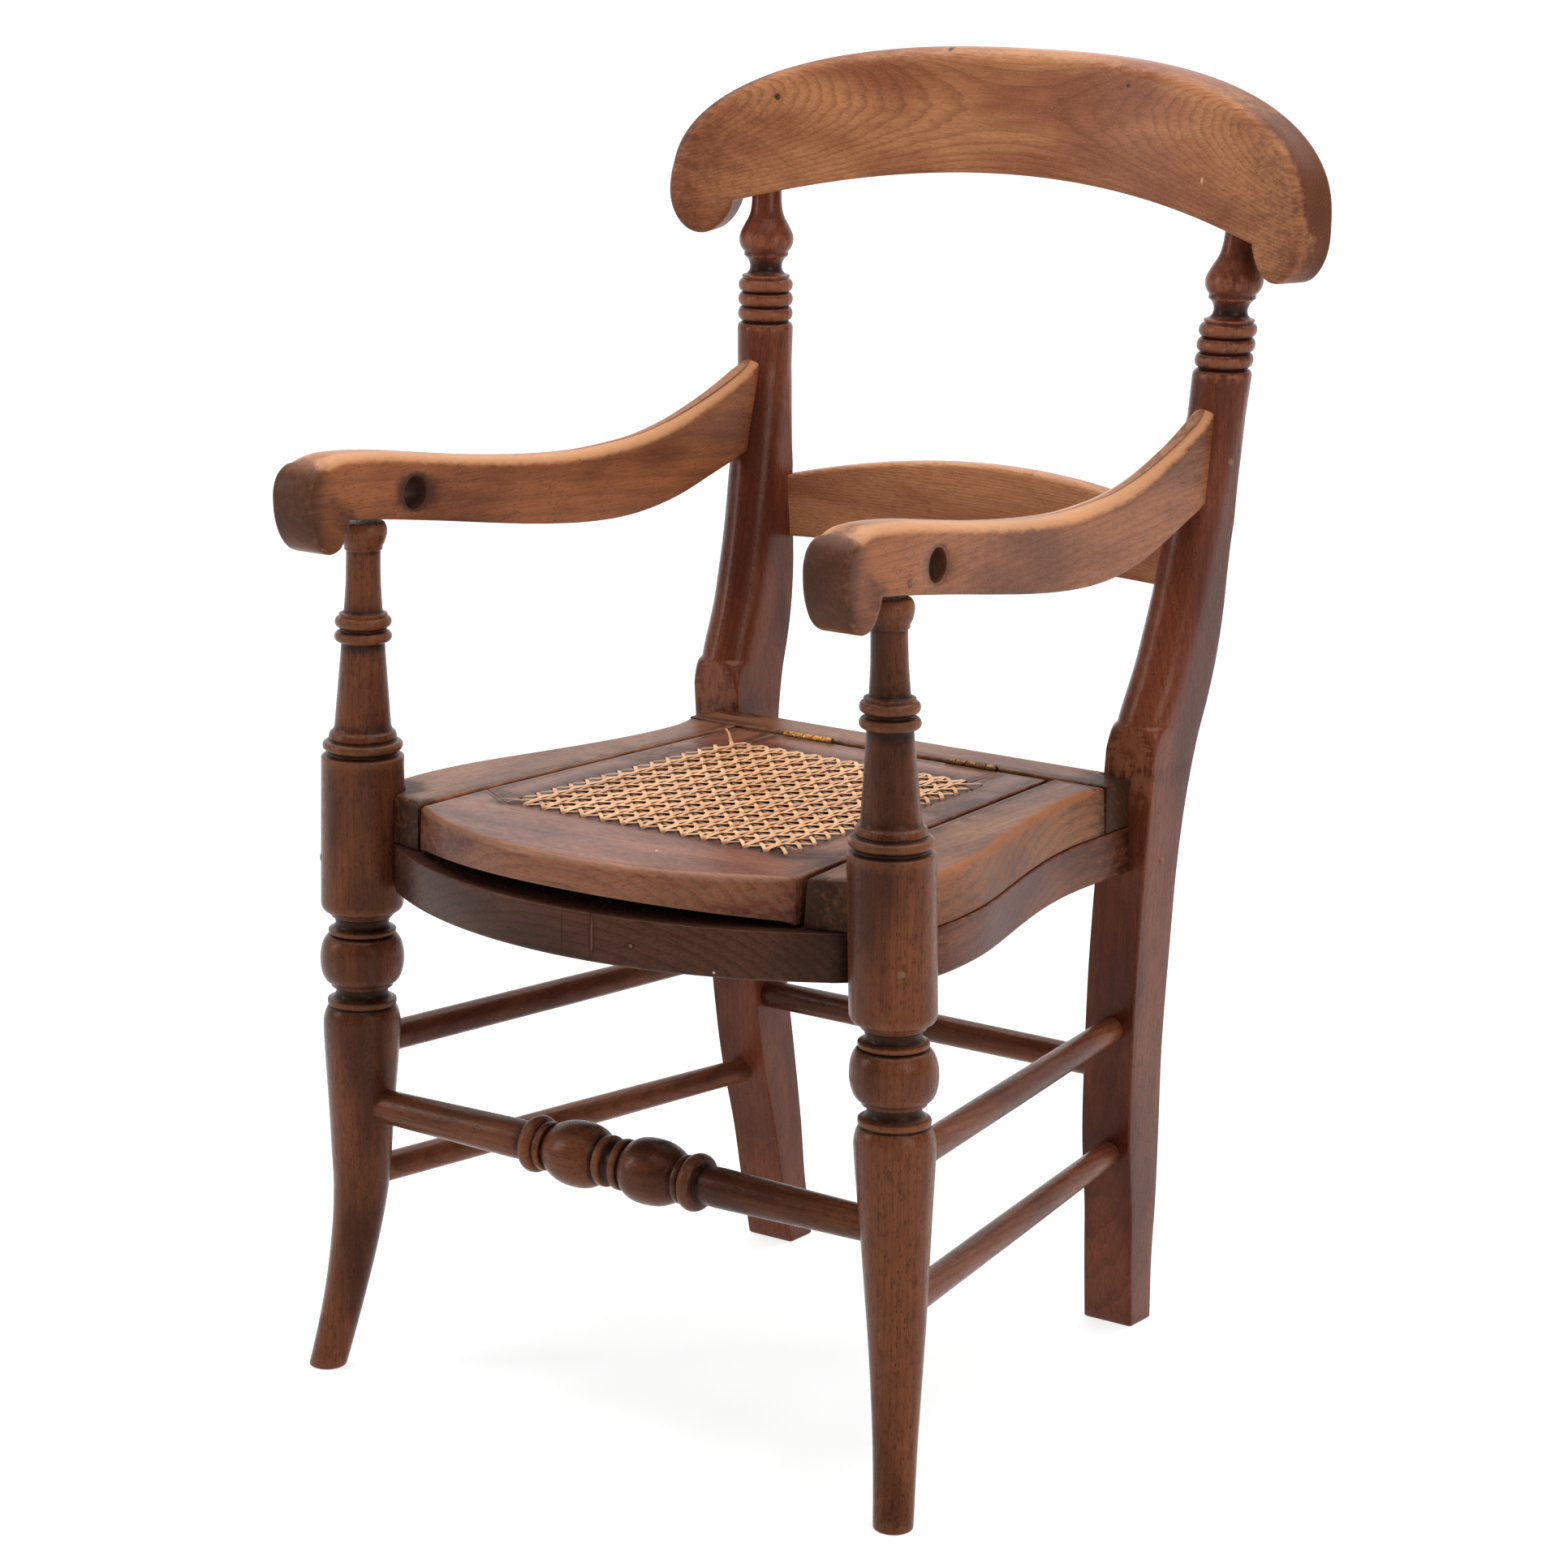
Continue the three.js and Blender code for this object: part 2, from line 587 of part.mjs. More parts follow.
// The crescent hollowed out under the lid's front edge, to lift it by.
function fingerHollow() {
  const { endHeight, middleHeight, back } = FINGER_GAP;
  const halfWidth = SLOT_FRONT.x;
  const below = UPPER_BOTTOM - 5;
  const end = UPPER_BOTTOM + endHeight;
  const shape = new THREE.Shape();
  shape.moveTo(-halfWidth, below);
  shape.lineTo(halfWidth, below);
  shape.lineTo(halfWidth, end);
  shape.quadraticCurveTo(0, end + 2 * (middleHeight - endHeight), -halfWidth, end);
  const options = { depth: back - LID_FRONT_Y + 5, bevelEnabled: false, curveSegments: 16 };
  return new THREE.ExtrudeGeometry(shape, options).rotateX(Math.PI / 2).translate(0, back, 0);
}

function lidFrontRail() {
  const half = [
    [lidEdge(LID_JOINT.sideY), LID_JOINT.sideY], [LID_JOINT.pointX, LID_JOINT.pointY],
    [LID_OPENING.frontX, LID_OPENING.frontY],
  ];
  const otherHalf = half.map(([x, y]) => [-x, y]).reverse();
  const rest = [...half, ...otherHalf];
  const shape = bowFronted(lidEdge(LID_CORNER_Y), LID_CORNER_Y, LID_FRONT_Y, rest);
  return cut(board(shape, UPPER_BOTTOM, SEAT_TOP, 24), fingerHollow());
}

function lidStile() {
  const shape = polygon([
    [LID_OPENING.frontX, LID_OPENING.frontY + 1.5 * GAP],
    [LID_JOINT.pointX, LID_JOINT.pointY + 1.5 * GAP],
    [lidEdge(LID_JOINT.sideY), LID_JOINT.sideY + 1.5 * GAP], [lidEdge(LID_REAR_Y), LID_REAR_Y],
    [LID_OPENING.rearX, LID_REAR_Y], [LID_OPENING.rearX, LID_OPENING.rearY],
  ]);
  return board(shape, UPPER_BOTTOM, SEAT_TOP);
}

function lidRearRail() {
  const half = LID_OPENING.rearX - GAP;
  const low = new THREE.Vector3(-half, LID_OPENING.rearY, UPPER_BOTTOM);
  const high = new THREE.Vector3(half, LID_REAR_Y, SEAT_TOP);
  return box(low, high);
}

function canePanel() {
  const { frontX, frontY, rearX, rearY, thickness } = CANE;
  const shape = polygon([[-frontX, frontY], [frontX, frontY], [rearX, rearY], [-rearX, rearY]]);
  return board(shape, SEAT_TOP + GAP, SEAT_TOP + GAP + thickness);
}

// ---- Hinges: butt hinges set on edge in the slot behind the lid -------------------------------

const LEAF = { thickness: 1.2, bottom: 268, top: 284, inset: 0.3 };
const KNUCKLE_BORE = 1;
const HINGE_PIN_RADIUS = 0.7;
const SCREW_SPACING = 16;

function knuckle(startX, endX) {
  const points = [
    [KNUCKLE_BORE, startX], [HINGE.radius, startX], [HINGE.radius, endX], [KNUCKLE_BORE, endX],
    [KNUCKLE_BORE, startX],
  ].map(([radius, x]) => new THREE.Vector2(radius, x));
  return new THREE.LatheGeometry(points, 8).rotateZ(-Math.PI / 2).translate(0, HINGE.y, HINGE.z);
}

// One leaf with its knuckles, about x = 0. Side +1 is the seat's leaf and -1 is the lid's.
function hingeLeaf(side) {
  const outer = side > 0 ? REAR_BOARD_FRONT_Y - LEAF.inset : LID_REAR_Y + LEAF.inset;
  const inner = outer - side * LEAF.thickness;
  const half = HINGE.length / 2;
  const slab = box(
    new THREE.Vector3(-half, Math.min(inner, outer), LEAF.bottom),
    new THREE.Vector3(half, Math.max(inner, outer), LEAF.top),
  );
  const pitch = (HINGE.length + GAP) / HINGE.knuckles;
  const neckInner = HINGE.y + side * (KNUCKLE_BORE + 0.1);
  const pieces = [slab];
  const first = side > 0 ? 0 : 1;
  for (let i = first; i < HINGE.knuckles; i += 2) {
    const startX = -half + i * pitch;
    const endX = startX + pitch - GAP;
    pieces.push(knuckle(startX, endX));
    pieces.push(box(
      new THREE.Vector3(startX, Math.min(neckInner, outer), LEAF.top - 0.5),
      new THREE.Vector3(endX, Math.max(neckInner, outer), HINGE.z),
    ));
  }
  return join(...pieces);
}

function hingePin() {
  const start = new THREE.Vector3(-HINGE.length / 2, HINGE.y, HINGE.z);
  const end = new THREE.Vector3(HINGE.length / 2, HINGE.y, HINGE.z);
  return rod(start, end, HINGE_PIN_RADIUS, HINGE_PIN_RADIUS, 8);
}

// A countersunk screw driven away from the slot, through a leaf and into the board behind it.
function hingeScrew(side, x, grow) {
  const profile = [
    [-grow, 2.3 + grow], [0.1 + grow, 2.3 + grow], [1.1 + grow, 1.3 + grow],
    [10 + grow, 1.3 + grow], [12 + grow, 0.3 + grow],
  ];
  const leafFace = side > 0 ? REAR_BOARD_FRONT_Y : LID_REAR_Y;
  const head = leafFace - side * (LEAF.inset + LEAF.thickness);
  const z = (LEAF.bottom + LEAF.top) / 2;
  return turned(profile, 8).rotateX((-side * Math.PI) / 2).translate(x, head, z);
}

// ---- Stretchers ------------------------------------------------------------------------------

const REAR_STRETCHER = { halfLength: 107, y: 119, z: 137, radius: 7 };
const FRONT_STRETCHER_Z = 131.8;
const FRONT_STRETCHER_SOCKET = { start: 125, end: 146, startRadius: 8.6, endRadius: 8.3 };
const SIDE_STRETCHERS = {
  upper: { z: 160.6, rearX: 114, frontRadius: 7.25, rearRadius: 6.15 },
  lower: { z: 95, rearX: 110, frontRadius: 7.1, rearRadius: 6.1 },
};

function sideStretcher({ z, rearX, frontRadius, rearRadius }, grow) {
  const legAxis = frontLegAxis(z);
  const towards = new THREE.Vector3(rearX, valueAt(REAR_LEG_FRONT, z) + 10, z - 0.6);
  const direction = towards.clone().sub(legAxis).normalize();
  const start = legAxis.addScaledVector(direction, 7 - grow);
  const end = towards.addScaledVector(direction, grow);
  return rod(start, end, frontRadius + grow, rearRadius + grow, 12);
}

function rearStretcher(grow) {
  const { halfLength, y, z, radius } = REAR_STRETCHER;
  const start = new THREE.Vector3(-halfLength - grow, y, z);
  const end = new THREE.Vector3(halfLength + grow, y, z);
  return rod(start, end, radius + grow, radius + grow, 12);
}

// Half of the front stretcher's turning, from the middle out, as [distance, radius].
const FRONT_STRETCHER_HALF = [
  [0, 9.4], [2.6, 9.8], [3.6, 12], [6.2, 12], [7.2, 10.4], [10, 12.9], [14, 14.8], [20, 15.5],
  [27, 14.9], [33, 12.7], [37, 9.8], [38.5, 10.2], [39.5, 11.6], [42, 11.6], [42.8, 12.6],
  [45.8, 13.5], [48.6, 12.4], [50, 9.6], [52, 9], [59, 9.3], [100, 8.6], [146, 7.9],
];

function frontStretcher() {
  const otherHalf = FRONT_STRETCHER_HALF.slice(1).reverse().map(([x, radius]) => [-x, radius]);
  const legAxis = frontLegAxis(FRONT_STRETCHER_Z);
  return turned([...otherHalf, ...FRONT_STRETCHER_HALF], 10)
    .rotateY(Math.PI / 2)
    .translate(0, legAxis.y, legAxis.z);
}

function frontStretcherSocket() {
  const legAxis = frontLegAxis(FRONT_STRETCHER_Z);
  const socket = FRONT_STRETCHER_SOCKET;
  const start = new THREE.Vector3(socket.start, legAxis.y, legAxis.z);
  const end = new THREE.Vector3(socket.end + GAP, legAxis.y, legAxis.z);
  return rod(start, end, socket.startRadius, socket.endRadius, 16);
}

// ---- Pegs that lock the joints ---------------------------------------------------------------

const PEG_RADIUS = 2.1;

// Each right-hand peg: where its head lies, and the way it is driven.
const PEGS = {
  front_leg_peg: { head: [164.3, -152.1, 253], drive: [-0.69, 0.72, 0], length: 8 },
  arm_peg: { head: [158.2, -141.3, 421], drive: [-1, 0, 0], length: 4.4 },
  stile_peg: { head: [145.3, 149.5, 435.5], drive: [-1, 0.1, 0], length: 6 },
  rear_leg_peg: { head: [133.3, 118, 245], drive: [-1, 0, -0.06], length: 9 },
};

function peg({ head, drive, length }, grow) {
  const direction = new THREE.Vector3(...drive).normalize();
  const start = new THREE.Vector3(...head).addScaledVector(direction, -8 * grow);
  const end = new THREE.Vector3(...head).addScaledVector(direction, length + grow);
  return rod(start, end, PEG_RADIUS + grow, PEG_RADIUS + grow, 8);
}

// ---- Assembly --------------------------------------------------------------------------------

const chair = new THREE.Group();
chair.position.y = -DEPTH_MIDDLE;

function add(name, geometry, material, x = 0) {
  const mesh = new THREE.Mesh(geometry, material);
  mesh.name = name;
  mesh.position.x = x;
  chair.add(mesh);
}

function addPair(name, geometry, material) {
  add(`right_${name}`, geometry, material);
  add(`left_${name}`, mirrored(geometry), material);
}

function addFrame() {
  const crest = crestRail();
  const crestJustBelow = crest.clone().translate(0, 0, -GAP);
  const stileClearance = rearLegBlank(GAP);
  const tenonHole = crestTenon(GAP);

  const legSockets = Object.values(SIDE_STRETCHERS).map((rail) => sideStretcher(rail, GAP));
  const legPegs = [peg(PEGS.front_leg_peg, GAP), frontStretcherSocket()];
  addPair("front_leg", cut(frontLeg(), ...legSockets, ...legPegs), legWood);

  const stileSockets = [rearStretcher(GAP), armTenon(GAP), backRailTenon(GAP)];
  const stilePegs = [peg(PEGS.stile_peg, GAP), peg(PEGS.rear_leg_peg, GAP)];
  const rearLegBody = cut(rearLegBlank(0), crestJustBelow, ...legSockets, ...stileSockets);
  addPair("rear_leg", cut(join(rearLegBody, crestTenon(0)), ...stilePegs), stileWood);

  const armBlank = cut(loft(ARM_STATIONS.map(armSection)), stileClearance);
  const armSockets = [rodHole(), legTenonSocket(), peg(PEGS.arm_peg, GAP)];
  addPair("arm", cut(join(armBlank, armTenon(0)), ...armSockets), armWood);

  add("crest_rail", cut(crest, tenonHole, mirrored(tenonHole)), armWood);
  const rail = cut(backRailBlank(), stileClearance, mirrored(stileClearance));
  const railTenon = backRailTenon(0);
  add("back_rail", join(rail, railTenon, mirrored(railTenon)), armWood);
}

function addSeat() {
  addPair("seat_board", seatSideBoard(), seatWood);
  addPair("seat_rail", seatSideRail(), railWood);
  add("rear_seat_rail", seatRearRail(), railWood);
  add("front_seat_rail", seatFrontRail(), railWood);
  add("pot_board", potBoard(), railWood);
  addPair("lid_stile", lidStile(), lidWood);
  add("lid_front_rail", lidFrontRail(), lidWood);
  add("cane_panel", canePanel(), caneFibre);
}

function addHinges() {
  const seatHoles = [];
  const lidHoles = [];
  for (const [hand, hingeX] of [["left", -HINGE.x], ["right", HINGE.x]]) {
    for (const [owner, side, holes] of [["seat", 1, seatHoles], ["lid", -1, lidHoles]]) {
      const leafHoles = [];
      [-SCREW_SPACING / 2, SCREW_SPACING / 2].forEach((offset, i) => {
        const name = `${hand}_hinge_${owner}_screw_${i + 1}`;
        add(name, hingeScrew(side, offset, 0), brass, hingeX);
        leafHoles.push(hingeScrew(side, offset, GAP));
        holes.push(hingeScrew(side, hingeX + offset, GAP));
      });
      add(`${hand}_hinge_${owner}_leaf`, cut(hingeLeaf(side), ...leafHoles), brass, hingeX);
    }
    add(`${hand}_hinge_pin`, hingePin(), brass, hingeX);
  }
  add("rear_seat_board", cut(seatRearBoard(), ...seatHoles), seatWood);
  add("lid_rear_rail", cut(lidRearRail(), ...lidHoles), lidWood);
}

function addStretchers() {
  add("front_stretcher", frontStretcher(), legWood);
  add("rear_stretcher", rearStretcher(0), legWood);
  for (const [level, rail] of Object.entries(SIDE_STRETCHERS)) {
    addPair(`${level}_side_stretcher`, sideStretcher(rail, 0), legWood);
  }
}

function addPegs() {
  for (const [name, place] of Object.entries(PEGS)) {
    addPair(name, peg(place, 0), pegWood);
  }
}

addFrame();
addSeat();
addHinges();
addStretchers();
addPegs();

export default chair;
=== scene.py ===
"""Looks of a child's commode armchair: turned and sawn beech, a hinged lid and six-way cane."""

import math

import bpy
import numpy as np
from mathutils import Matrix, Vector, geometry

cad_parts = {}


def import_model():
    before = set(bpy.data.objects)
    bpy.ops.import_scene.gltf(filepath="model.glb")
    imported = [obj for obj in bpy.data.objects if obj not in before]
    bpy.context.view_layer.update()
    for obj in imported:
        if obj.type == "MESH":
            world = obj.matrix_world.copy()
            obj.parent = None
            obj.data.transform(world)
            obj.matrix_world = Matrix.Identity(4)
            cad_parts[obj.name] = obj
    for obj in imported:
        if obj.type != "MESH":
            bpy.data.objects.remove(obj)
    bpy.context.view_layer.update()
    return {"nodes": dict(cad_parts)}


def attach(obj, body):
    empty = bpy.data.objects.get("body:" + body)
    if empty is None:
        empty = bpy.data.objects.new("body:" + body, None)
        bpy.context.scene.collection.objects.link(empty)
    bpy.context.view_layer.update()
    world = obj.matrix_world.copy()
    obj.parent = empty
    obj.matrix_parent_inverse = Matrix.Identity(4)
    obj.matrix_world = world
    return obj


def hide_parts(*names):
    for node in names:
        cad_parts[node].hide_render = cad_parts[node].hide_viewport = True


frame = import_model()

# ---- Frame and main dimensions, in millimetres ----

MM = 0.001
DEPTH_MIDDLE = 5.42  # the frame's Y is this much less than the Y used for the dimensions below
SEAT_TOP = 286.0
UPPER_BOTTOM = 263.3
LOWER_TOP = 263.0
LOWER_BOTTOM = 240.6
SLOT_FRONT = (107.8, -147.0)
SLOT_REAR = (92.8, 78.0)
SLOT_WIDTH = 2.8
LID_REAR_Y = 77.3
REAR_BOARD_Y = (81.7, 102.2, 108.0)
REAR_BOARD_HALF = (123.3, 106.2)  # at its ends, and between the rear legs
RAIL_LEDGE = 10.0
RIGHT, BACK, UP = np.eye(3)
random = np.random.default_rng(12)


def metres(points):
    return (np.asarray(points, float) - (0, DEPTH_MIDDLE, 0)) * MM


def slot_x(y):
    share = (y - SLOT_FRONT[1]) / (SLOT_REAR[1] - SLOT_FRONT[1])
    return SLOT_FRONT[0] + share * (SLOT_REAR[0] - SLOT_FRONT[0])


def lid_edge(y):
    return slot_x(y) - SLOT_WIDTH / 2


def board_edge(y):
    return slot_x(y) + SLOT_WIDTH / 2


# ---- Curves ----

SWEEP_STEPS = 10
BEAD_STEPS = 16


def curve(points, steps=8):
    """A smooth curve through the points."""
    p = np.array(points, float)
    p = np.vstack([2 * p[0] - p[1], p, 2 * p[-1] - p[-2]])
    made = []
    for a, b, c, d in zip(p[:-3], p[1:-2], p[2:-1], p[3:]):
        for t in np.arange(steps) / steps:
            made.append(
                0.5 * (2 * b + (c - a) * t + (2 * a - 5 * b + 4 * c - d) * t**2
                       + (3 * b - a - 3 * c + d) * t**3)
            )
    made.append(p[-2])
    return [tuple(point) for point in made]


def arc(centre, radius, start, end, steps):
    """An arc in degrees, from start to end."""
    angles = np.radians(np.linspace(start, end, steps + 1))
    return [(centre[0] + radius * math.cos(a), centre[1] + radius * math.sin(a)) for a in angles]


def sweep(start, end):
    """A quarter of an ellipse that leaves start across the axis and reaches end along it."""
    angles = np.linspace(0, math.pi / 2, SWEEP_STEPS + 1)
    return [
        (end[0] - (end[0] - start[0]) * math.cos(a), start[1] + (end[1] - start[1]) * math.sin(a))
        for a in angles
    ]


def bead(start, end, crown):
    """A round moulding between two points, with its greatest radius in the middle."""
    made = []
    for a in np.linspace(-math.pi / 2, math.pi / 2, BEAD_STEPS + 1):
        share = (1 + math.sin(a)) / 2
        edge = start[1] + share * (end[1] - start[1])
        made.append((start[0] + share * (end[0] - start[0]), edge + (crown - edge) * math.cos(a)))
    return made


def blurred(values, sigma):
    """Values smoothed along their first axis, with the two ends left where they are."""
    reach = max(1, int(3 * sigma))
    kernel = np.exp(-0.5 * (np.arange(-reach, reach + 1) / sigma) ** 2)
    kernel /= kernel.sum()
    before = 2 * values[0] - values[reach:0:-1]
    after = 2 * values[-1] - values[-2:-reach - 2:-1]
    padded = np.concatenate([before, values, after])
    return np.convolve(padded, kernel, "valid")


def interpolate(table, at):
    """Smooth interpolation in a list of (position, value)."""
    x, y = np.array(table, float).T
    slopes = np.gradient(y, x)
    at = np.clip(np.asarray(at, float), x[0], x[-1])
    i = np.clip(np.searchsorted(x, at) - 1, 0, len(x) - 2)
    h = x[i + 1] - x[i]
    t = (at - x[i]) / h
    left = (1 + 2 * t) * y[i] + t * h * slopes[i]
    right = (3 - 2 * t) * y[i + 1] + (t - 1) * h * slopes[i + 1]
    return (1 - t) ** 2 * left + t * t * right


PROFILE_STEP = 0.35
EDGE_SOFTNESS = 1.1  # in profile steps
RELIEF_WIDTH = 9.0  # in profile steps


def profile(points, softness=EDGE_SOFTNESS, longest=6.0, turn=4.0):
    """A turning's profile with softened edges: columns are place, radius and relief."""
    p = np.array(points, float)
    p = p[np.concatenate([[True], np.hypot(*np.diff(p, axis=0).T) > 1e-6])]
    at = np.concatenate([[0], np.cumsum(np.hypot(*np.diff(p, axis=0).T))])
    dense = np.arange(0, at[-1], min(PROFILE_STEP, at[-1] / 90))
    place, radius = (blurred(np.interp(dense, at, column), softness) for column in p.T)
    relief = radius - blurred(radius, RELIEF_WIDTH)
    heading = np.unwrap(np.arctan2(np.gradient(radius), np.gradient(place)))
    kept = [0]
    for i in range(1, len(dense) - 1):
        turned = abs(heading[i] - heading[kept[-1]])
        if turned > math.radians(turn) or dense[i] - dense[kept[-1]] > longest:
            kept.append(i)
    kept.append(len(dense) - 1)
    return np.stack([place, radius, relief], 1)[kept]


# ---- Solids: points, faces and what the materials read ----


class Solid:
    """A closed skin, with each point's wear, grime with painted shade, and place in the grain."""

    def __init__(self, points, faces, wear=0.0, grime_and_shade=0.0):
        self.points = np.asarray(points, float)
        self.faces = faces
        self.wear = np.broadcast_to(wear, len(self.points)).astype(float)
        self.grime_and_shade = np.broadcast_to(grime_and_shade, len(self.points)).astype(float)
        self.grain = self.points.copy()

    def volume(self):
        total = 0.0
        for face in self.faces:
            corner = self.points[list(face)]
            for i in range(1, len(face) - 1):
                total += np.dot(corner[0], np.cross(corner[i], corner[i + 1]))
        return total

    def mirrored(self):
        copy = Solid(self.points * (-1, 1, 1), self.faces, self.wear, self.grime_and_shade)
        copy.grain = self.grain.copy()
        return copy

    def grained(self, along, offset, tilt=0.0):
        """Sets the grain: its direction, where the middle of the log lies, and its tilt."""
        order = {"x": (1, 2, 0), "y": (0, 2, 1), "z": (0, 1, 2)}[along]
        self.grain = self.points[:, order] + (offset[0], offset[1], 0)
        self.grain[:, 1] += tilt * self.grain[:, 2]
        return self


def skin(count, sides):
    """Faces of a closed stack of rings, without its ends."""
    faces = []
    for i in range(count - 1):
        for j in range(sides):
            k = (j + 1) % sides
            faces.append((i * sides + j, i * sides + k, (i + 1) * sides + k, (i + 1) * sides + j))
    return faces


def stacked(rings, wear, grime_and_shade):
    """A solid through rings of equally many points, closed with a fan at each end."""
    rings = np.asarray(rings, float)
    count, sides = rings.shape[:2]
    faces = skin(count, sides)
    first, last = count * sides, count * sides + 1
    for j in range(sides):
        k = (j + 1) % sides
        faces.append((first, k, j))
        faces.append((last, (count - 1) * sides + j, (count - 1) * sides + k))
    points = np.vstack([rings.reshape(-1, 3), rings[0].mean(0), rings[-1].mean(0)])
    looks = []
    for values in (wear, grime_and_shade):
        values = np.broadcast_to(np.asarray(values, float), (count,))
        looks.append(np.concatenate([np.repeat(values, sides), values[[0, -1]]]))
    return Solid(points, faces, *looks)


OUT_OF_ROUND = 0.004
RELIEF_WORN = 0.7  # the relief, in millimetres, at which a moulding's crown is worn through
RELIEF_DARKEST = 0.9  # the depth at which a groove is darkest, with dirt and painted shade


def revolved(shape, centre, across, up, sides=56):
    """Turned work: shape is a profile, and centre gives the axis at each place along it."""
    place, radius, relief = shape.T
    angle = np.arange(sides) * 2 * math.pi / sides
    ring = np.outer(np.cos(angle), across) + np.outer(np.sin(angle), up)
    phase = random.uniform(0, 6, 2)
    error = 1 + OUT_OF_ROUND * np.sin(
        2 * angle[None] + phase[0] + place[:, None] * 0.011
    ) + 0.5 * OUT_OF_ROUND * np.sin(3 * angle[None] + phase[1] - place[:, None] * 0.03)
    middle = np.asarray(centre(place), float)
    rings = middle[:, None] + (radius[:, None] * error)[..., None] * ring[None]
    # Grooves darken with their depth: dirt, and painted shade in the hollows.
    wear, grime_and_shade = np.clip(relief / RELIEF_WORN, 0, 1), np.clip(-relief / RELIEF_DARKEST, 0, 1)
    return stacked(rings, wear, grime_and_shade)


def turned(shape, start, heading, sides=56):
    """Turned work on a straight axis."""
    start = np.array(start, float)
    heading = np.array(heading, float) / np.linalg.norm(heading)
    across = np.cross(UP, heading)
    across /= np.linalg.norm(across)
    up = np.cross(heading, across)
    return revolved(shape, lambda t: start + t[:, None] * heading, across, up, sides)


# ---- Flat work: an outline with rounded edges, a low face and a high face ----

CORNER_TURN = math.radians(24)
EDGE_STEPS = 5
MARGIN = 2.2


class Edge:
    """How a run of outline is finished: rounding (inset, depth) at each face, and how it leans."""

    def __init__(self, high=(0.5, 0.5), low=(0.5, 0.5), lean=0.0, wear=0.5, grime_and_shade=0.0):
        self.values = (*high, *low, lean, wear, grime_and_shade)


class Outline:
    """A closed outline made of runs of points, each with its edge."""

    def __init__(self, runs, corner=0.8, spacing=12.0):
        points, values = [], []
        for run, edge in runs:
            for start, end in zip(run[:-1], run[1:]):
                pieces = max(1, int(math.dist(start, end) / spacing))
                points += np.linspace(start, end, pieces, endpoint=False).tolist()
                values += [edge.values] * pieces
        p, v = np.array(points), np.array(values)
        after = np.roll(p, -1, 0)
        if (p[:, 0] * after[:, 1] - after[:, 0] * p[:, 1]).sum() < 0:
            p, v = p[::-1], np.roll(v[::-1], -1, 0)
        reach = (v[:, [0, 2]].max(1) + MARGIN) * 1.1
        corners = np.flatnonzero(self.turning(p)[2] > CORNER_TURN)
        keep = np.ones(len(p), bool)
        for c in corners:
            keep &= np.hypot(*(p - p[c]).T) >= reach[c]
        keep[corners] = True
        self.points, self.values, self.corner = p[keep], v[keep], corner
        for _ in range(2):
            before, after = np.roll(self.values, 1, 0), np.roll(self.values, -1, 0)
            self.values = (before + 2 * self.values + after) / 4

    @staticmethod
    def turning(p):
        """The directions behind and ahead of each point, and the angle between them."""
        ahead = np.roll(p, -1, 0) - p
        ahead /= np.maximum(np.hypot(*ahead.T), 1e-9)[:, None]
        behind = np.roll(ahead, 1, 0)
        sine = behind[:, 0] * ahead[:, 1] - behind[:, 1] * ahead[:, 0]
        return behind, ahead, np.arctan2(sine, (behind * ahead).sum(1))

    def ring(self, inset):
        """The outline moved inwards, with small fillets at its corners."""
        behind, ahead, turning = self.turning(self.points)
        normal = (behind + ahead)[:, ::-1] * (-1, 1)
        normal /= np.hypot(*normal.T)[:, None]
        mitre = 1 / np.maximum(np.cos(turning / 2), 0.45)
        moved = self.points + normal * (mitre * inset)[:, None]
        made, source = [], []
        for i, turn in enumerate(turning):
            if abs(turn) < CORNER_TURN:
                made.append(moved[i])
                source.append(i)
                continue
            to_before = moved[i - 1] - moved[i]
            to_after = moved[(i + 1) % len(moved)] - moved[i]
            lengths = np.hypot(*to_before), np.hypot(*to_after)
            radius = max(self.corner - math.copysign(inset[i], turn), 0.12)
            slope = abs(math.tan(turn / 2))
            tangent = min(radius * slope, 0.4 * min(lengths))
            bulge = tangent / slope * (1 / math.cos(turn / 2) - 1)
            to_before /= max(lengths[0], 1e-9)
            to_after /= max(lengths[1], 1e-9)
            middle = to_before + to_after
            middle /= max(np.hypot(*middle), 1e-9)
            made += [moved[i] + step
                     for step in (to_before * tangent, middle * bulge, to_after * tangent)]
            source += [i] * 3
        return np.array(made), np.array(source)


def inside(points, polygon):
    """Which points lie inside a polygon."""
    x, y = np.asarray(points, float).T
    result = np.zeros(len(x), bool)
    for (x0, y0), (x1, y1) in zip(polygon, np.roll(polygon, -1, 0)):
        crosses = (y0 > y) != (y1 > y)
        with np.errstate(divide="ignore", invalid="ignore"):
            at = x0 + (y - y0) * (x1 - x0) / (y1 - y0)
        result ^= crosses & (x < at)
    return result


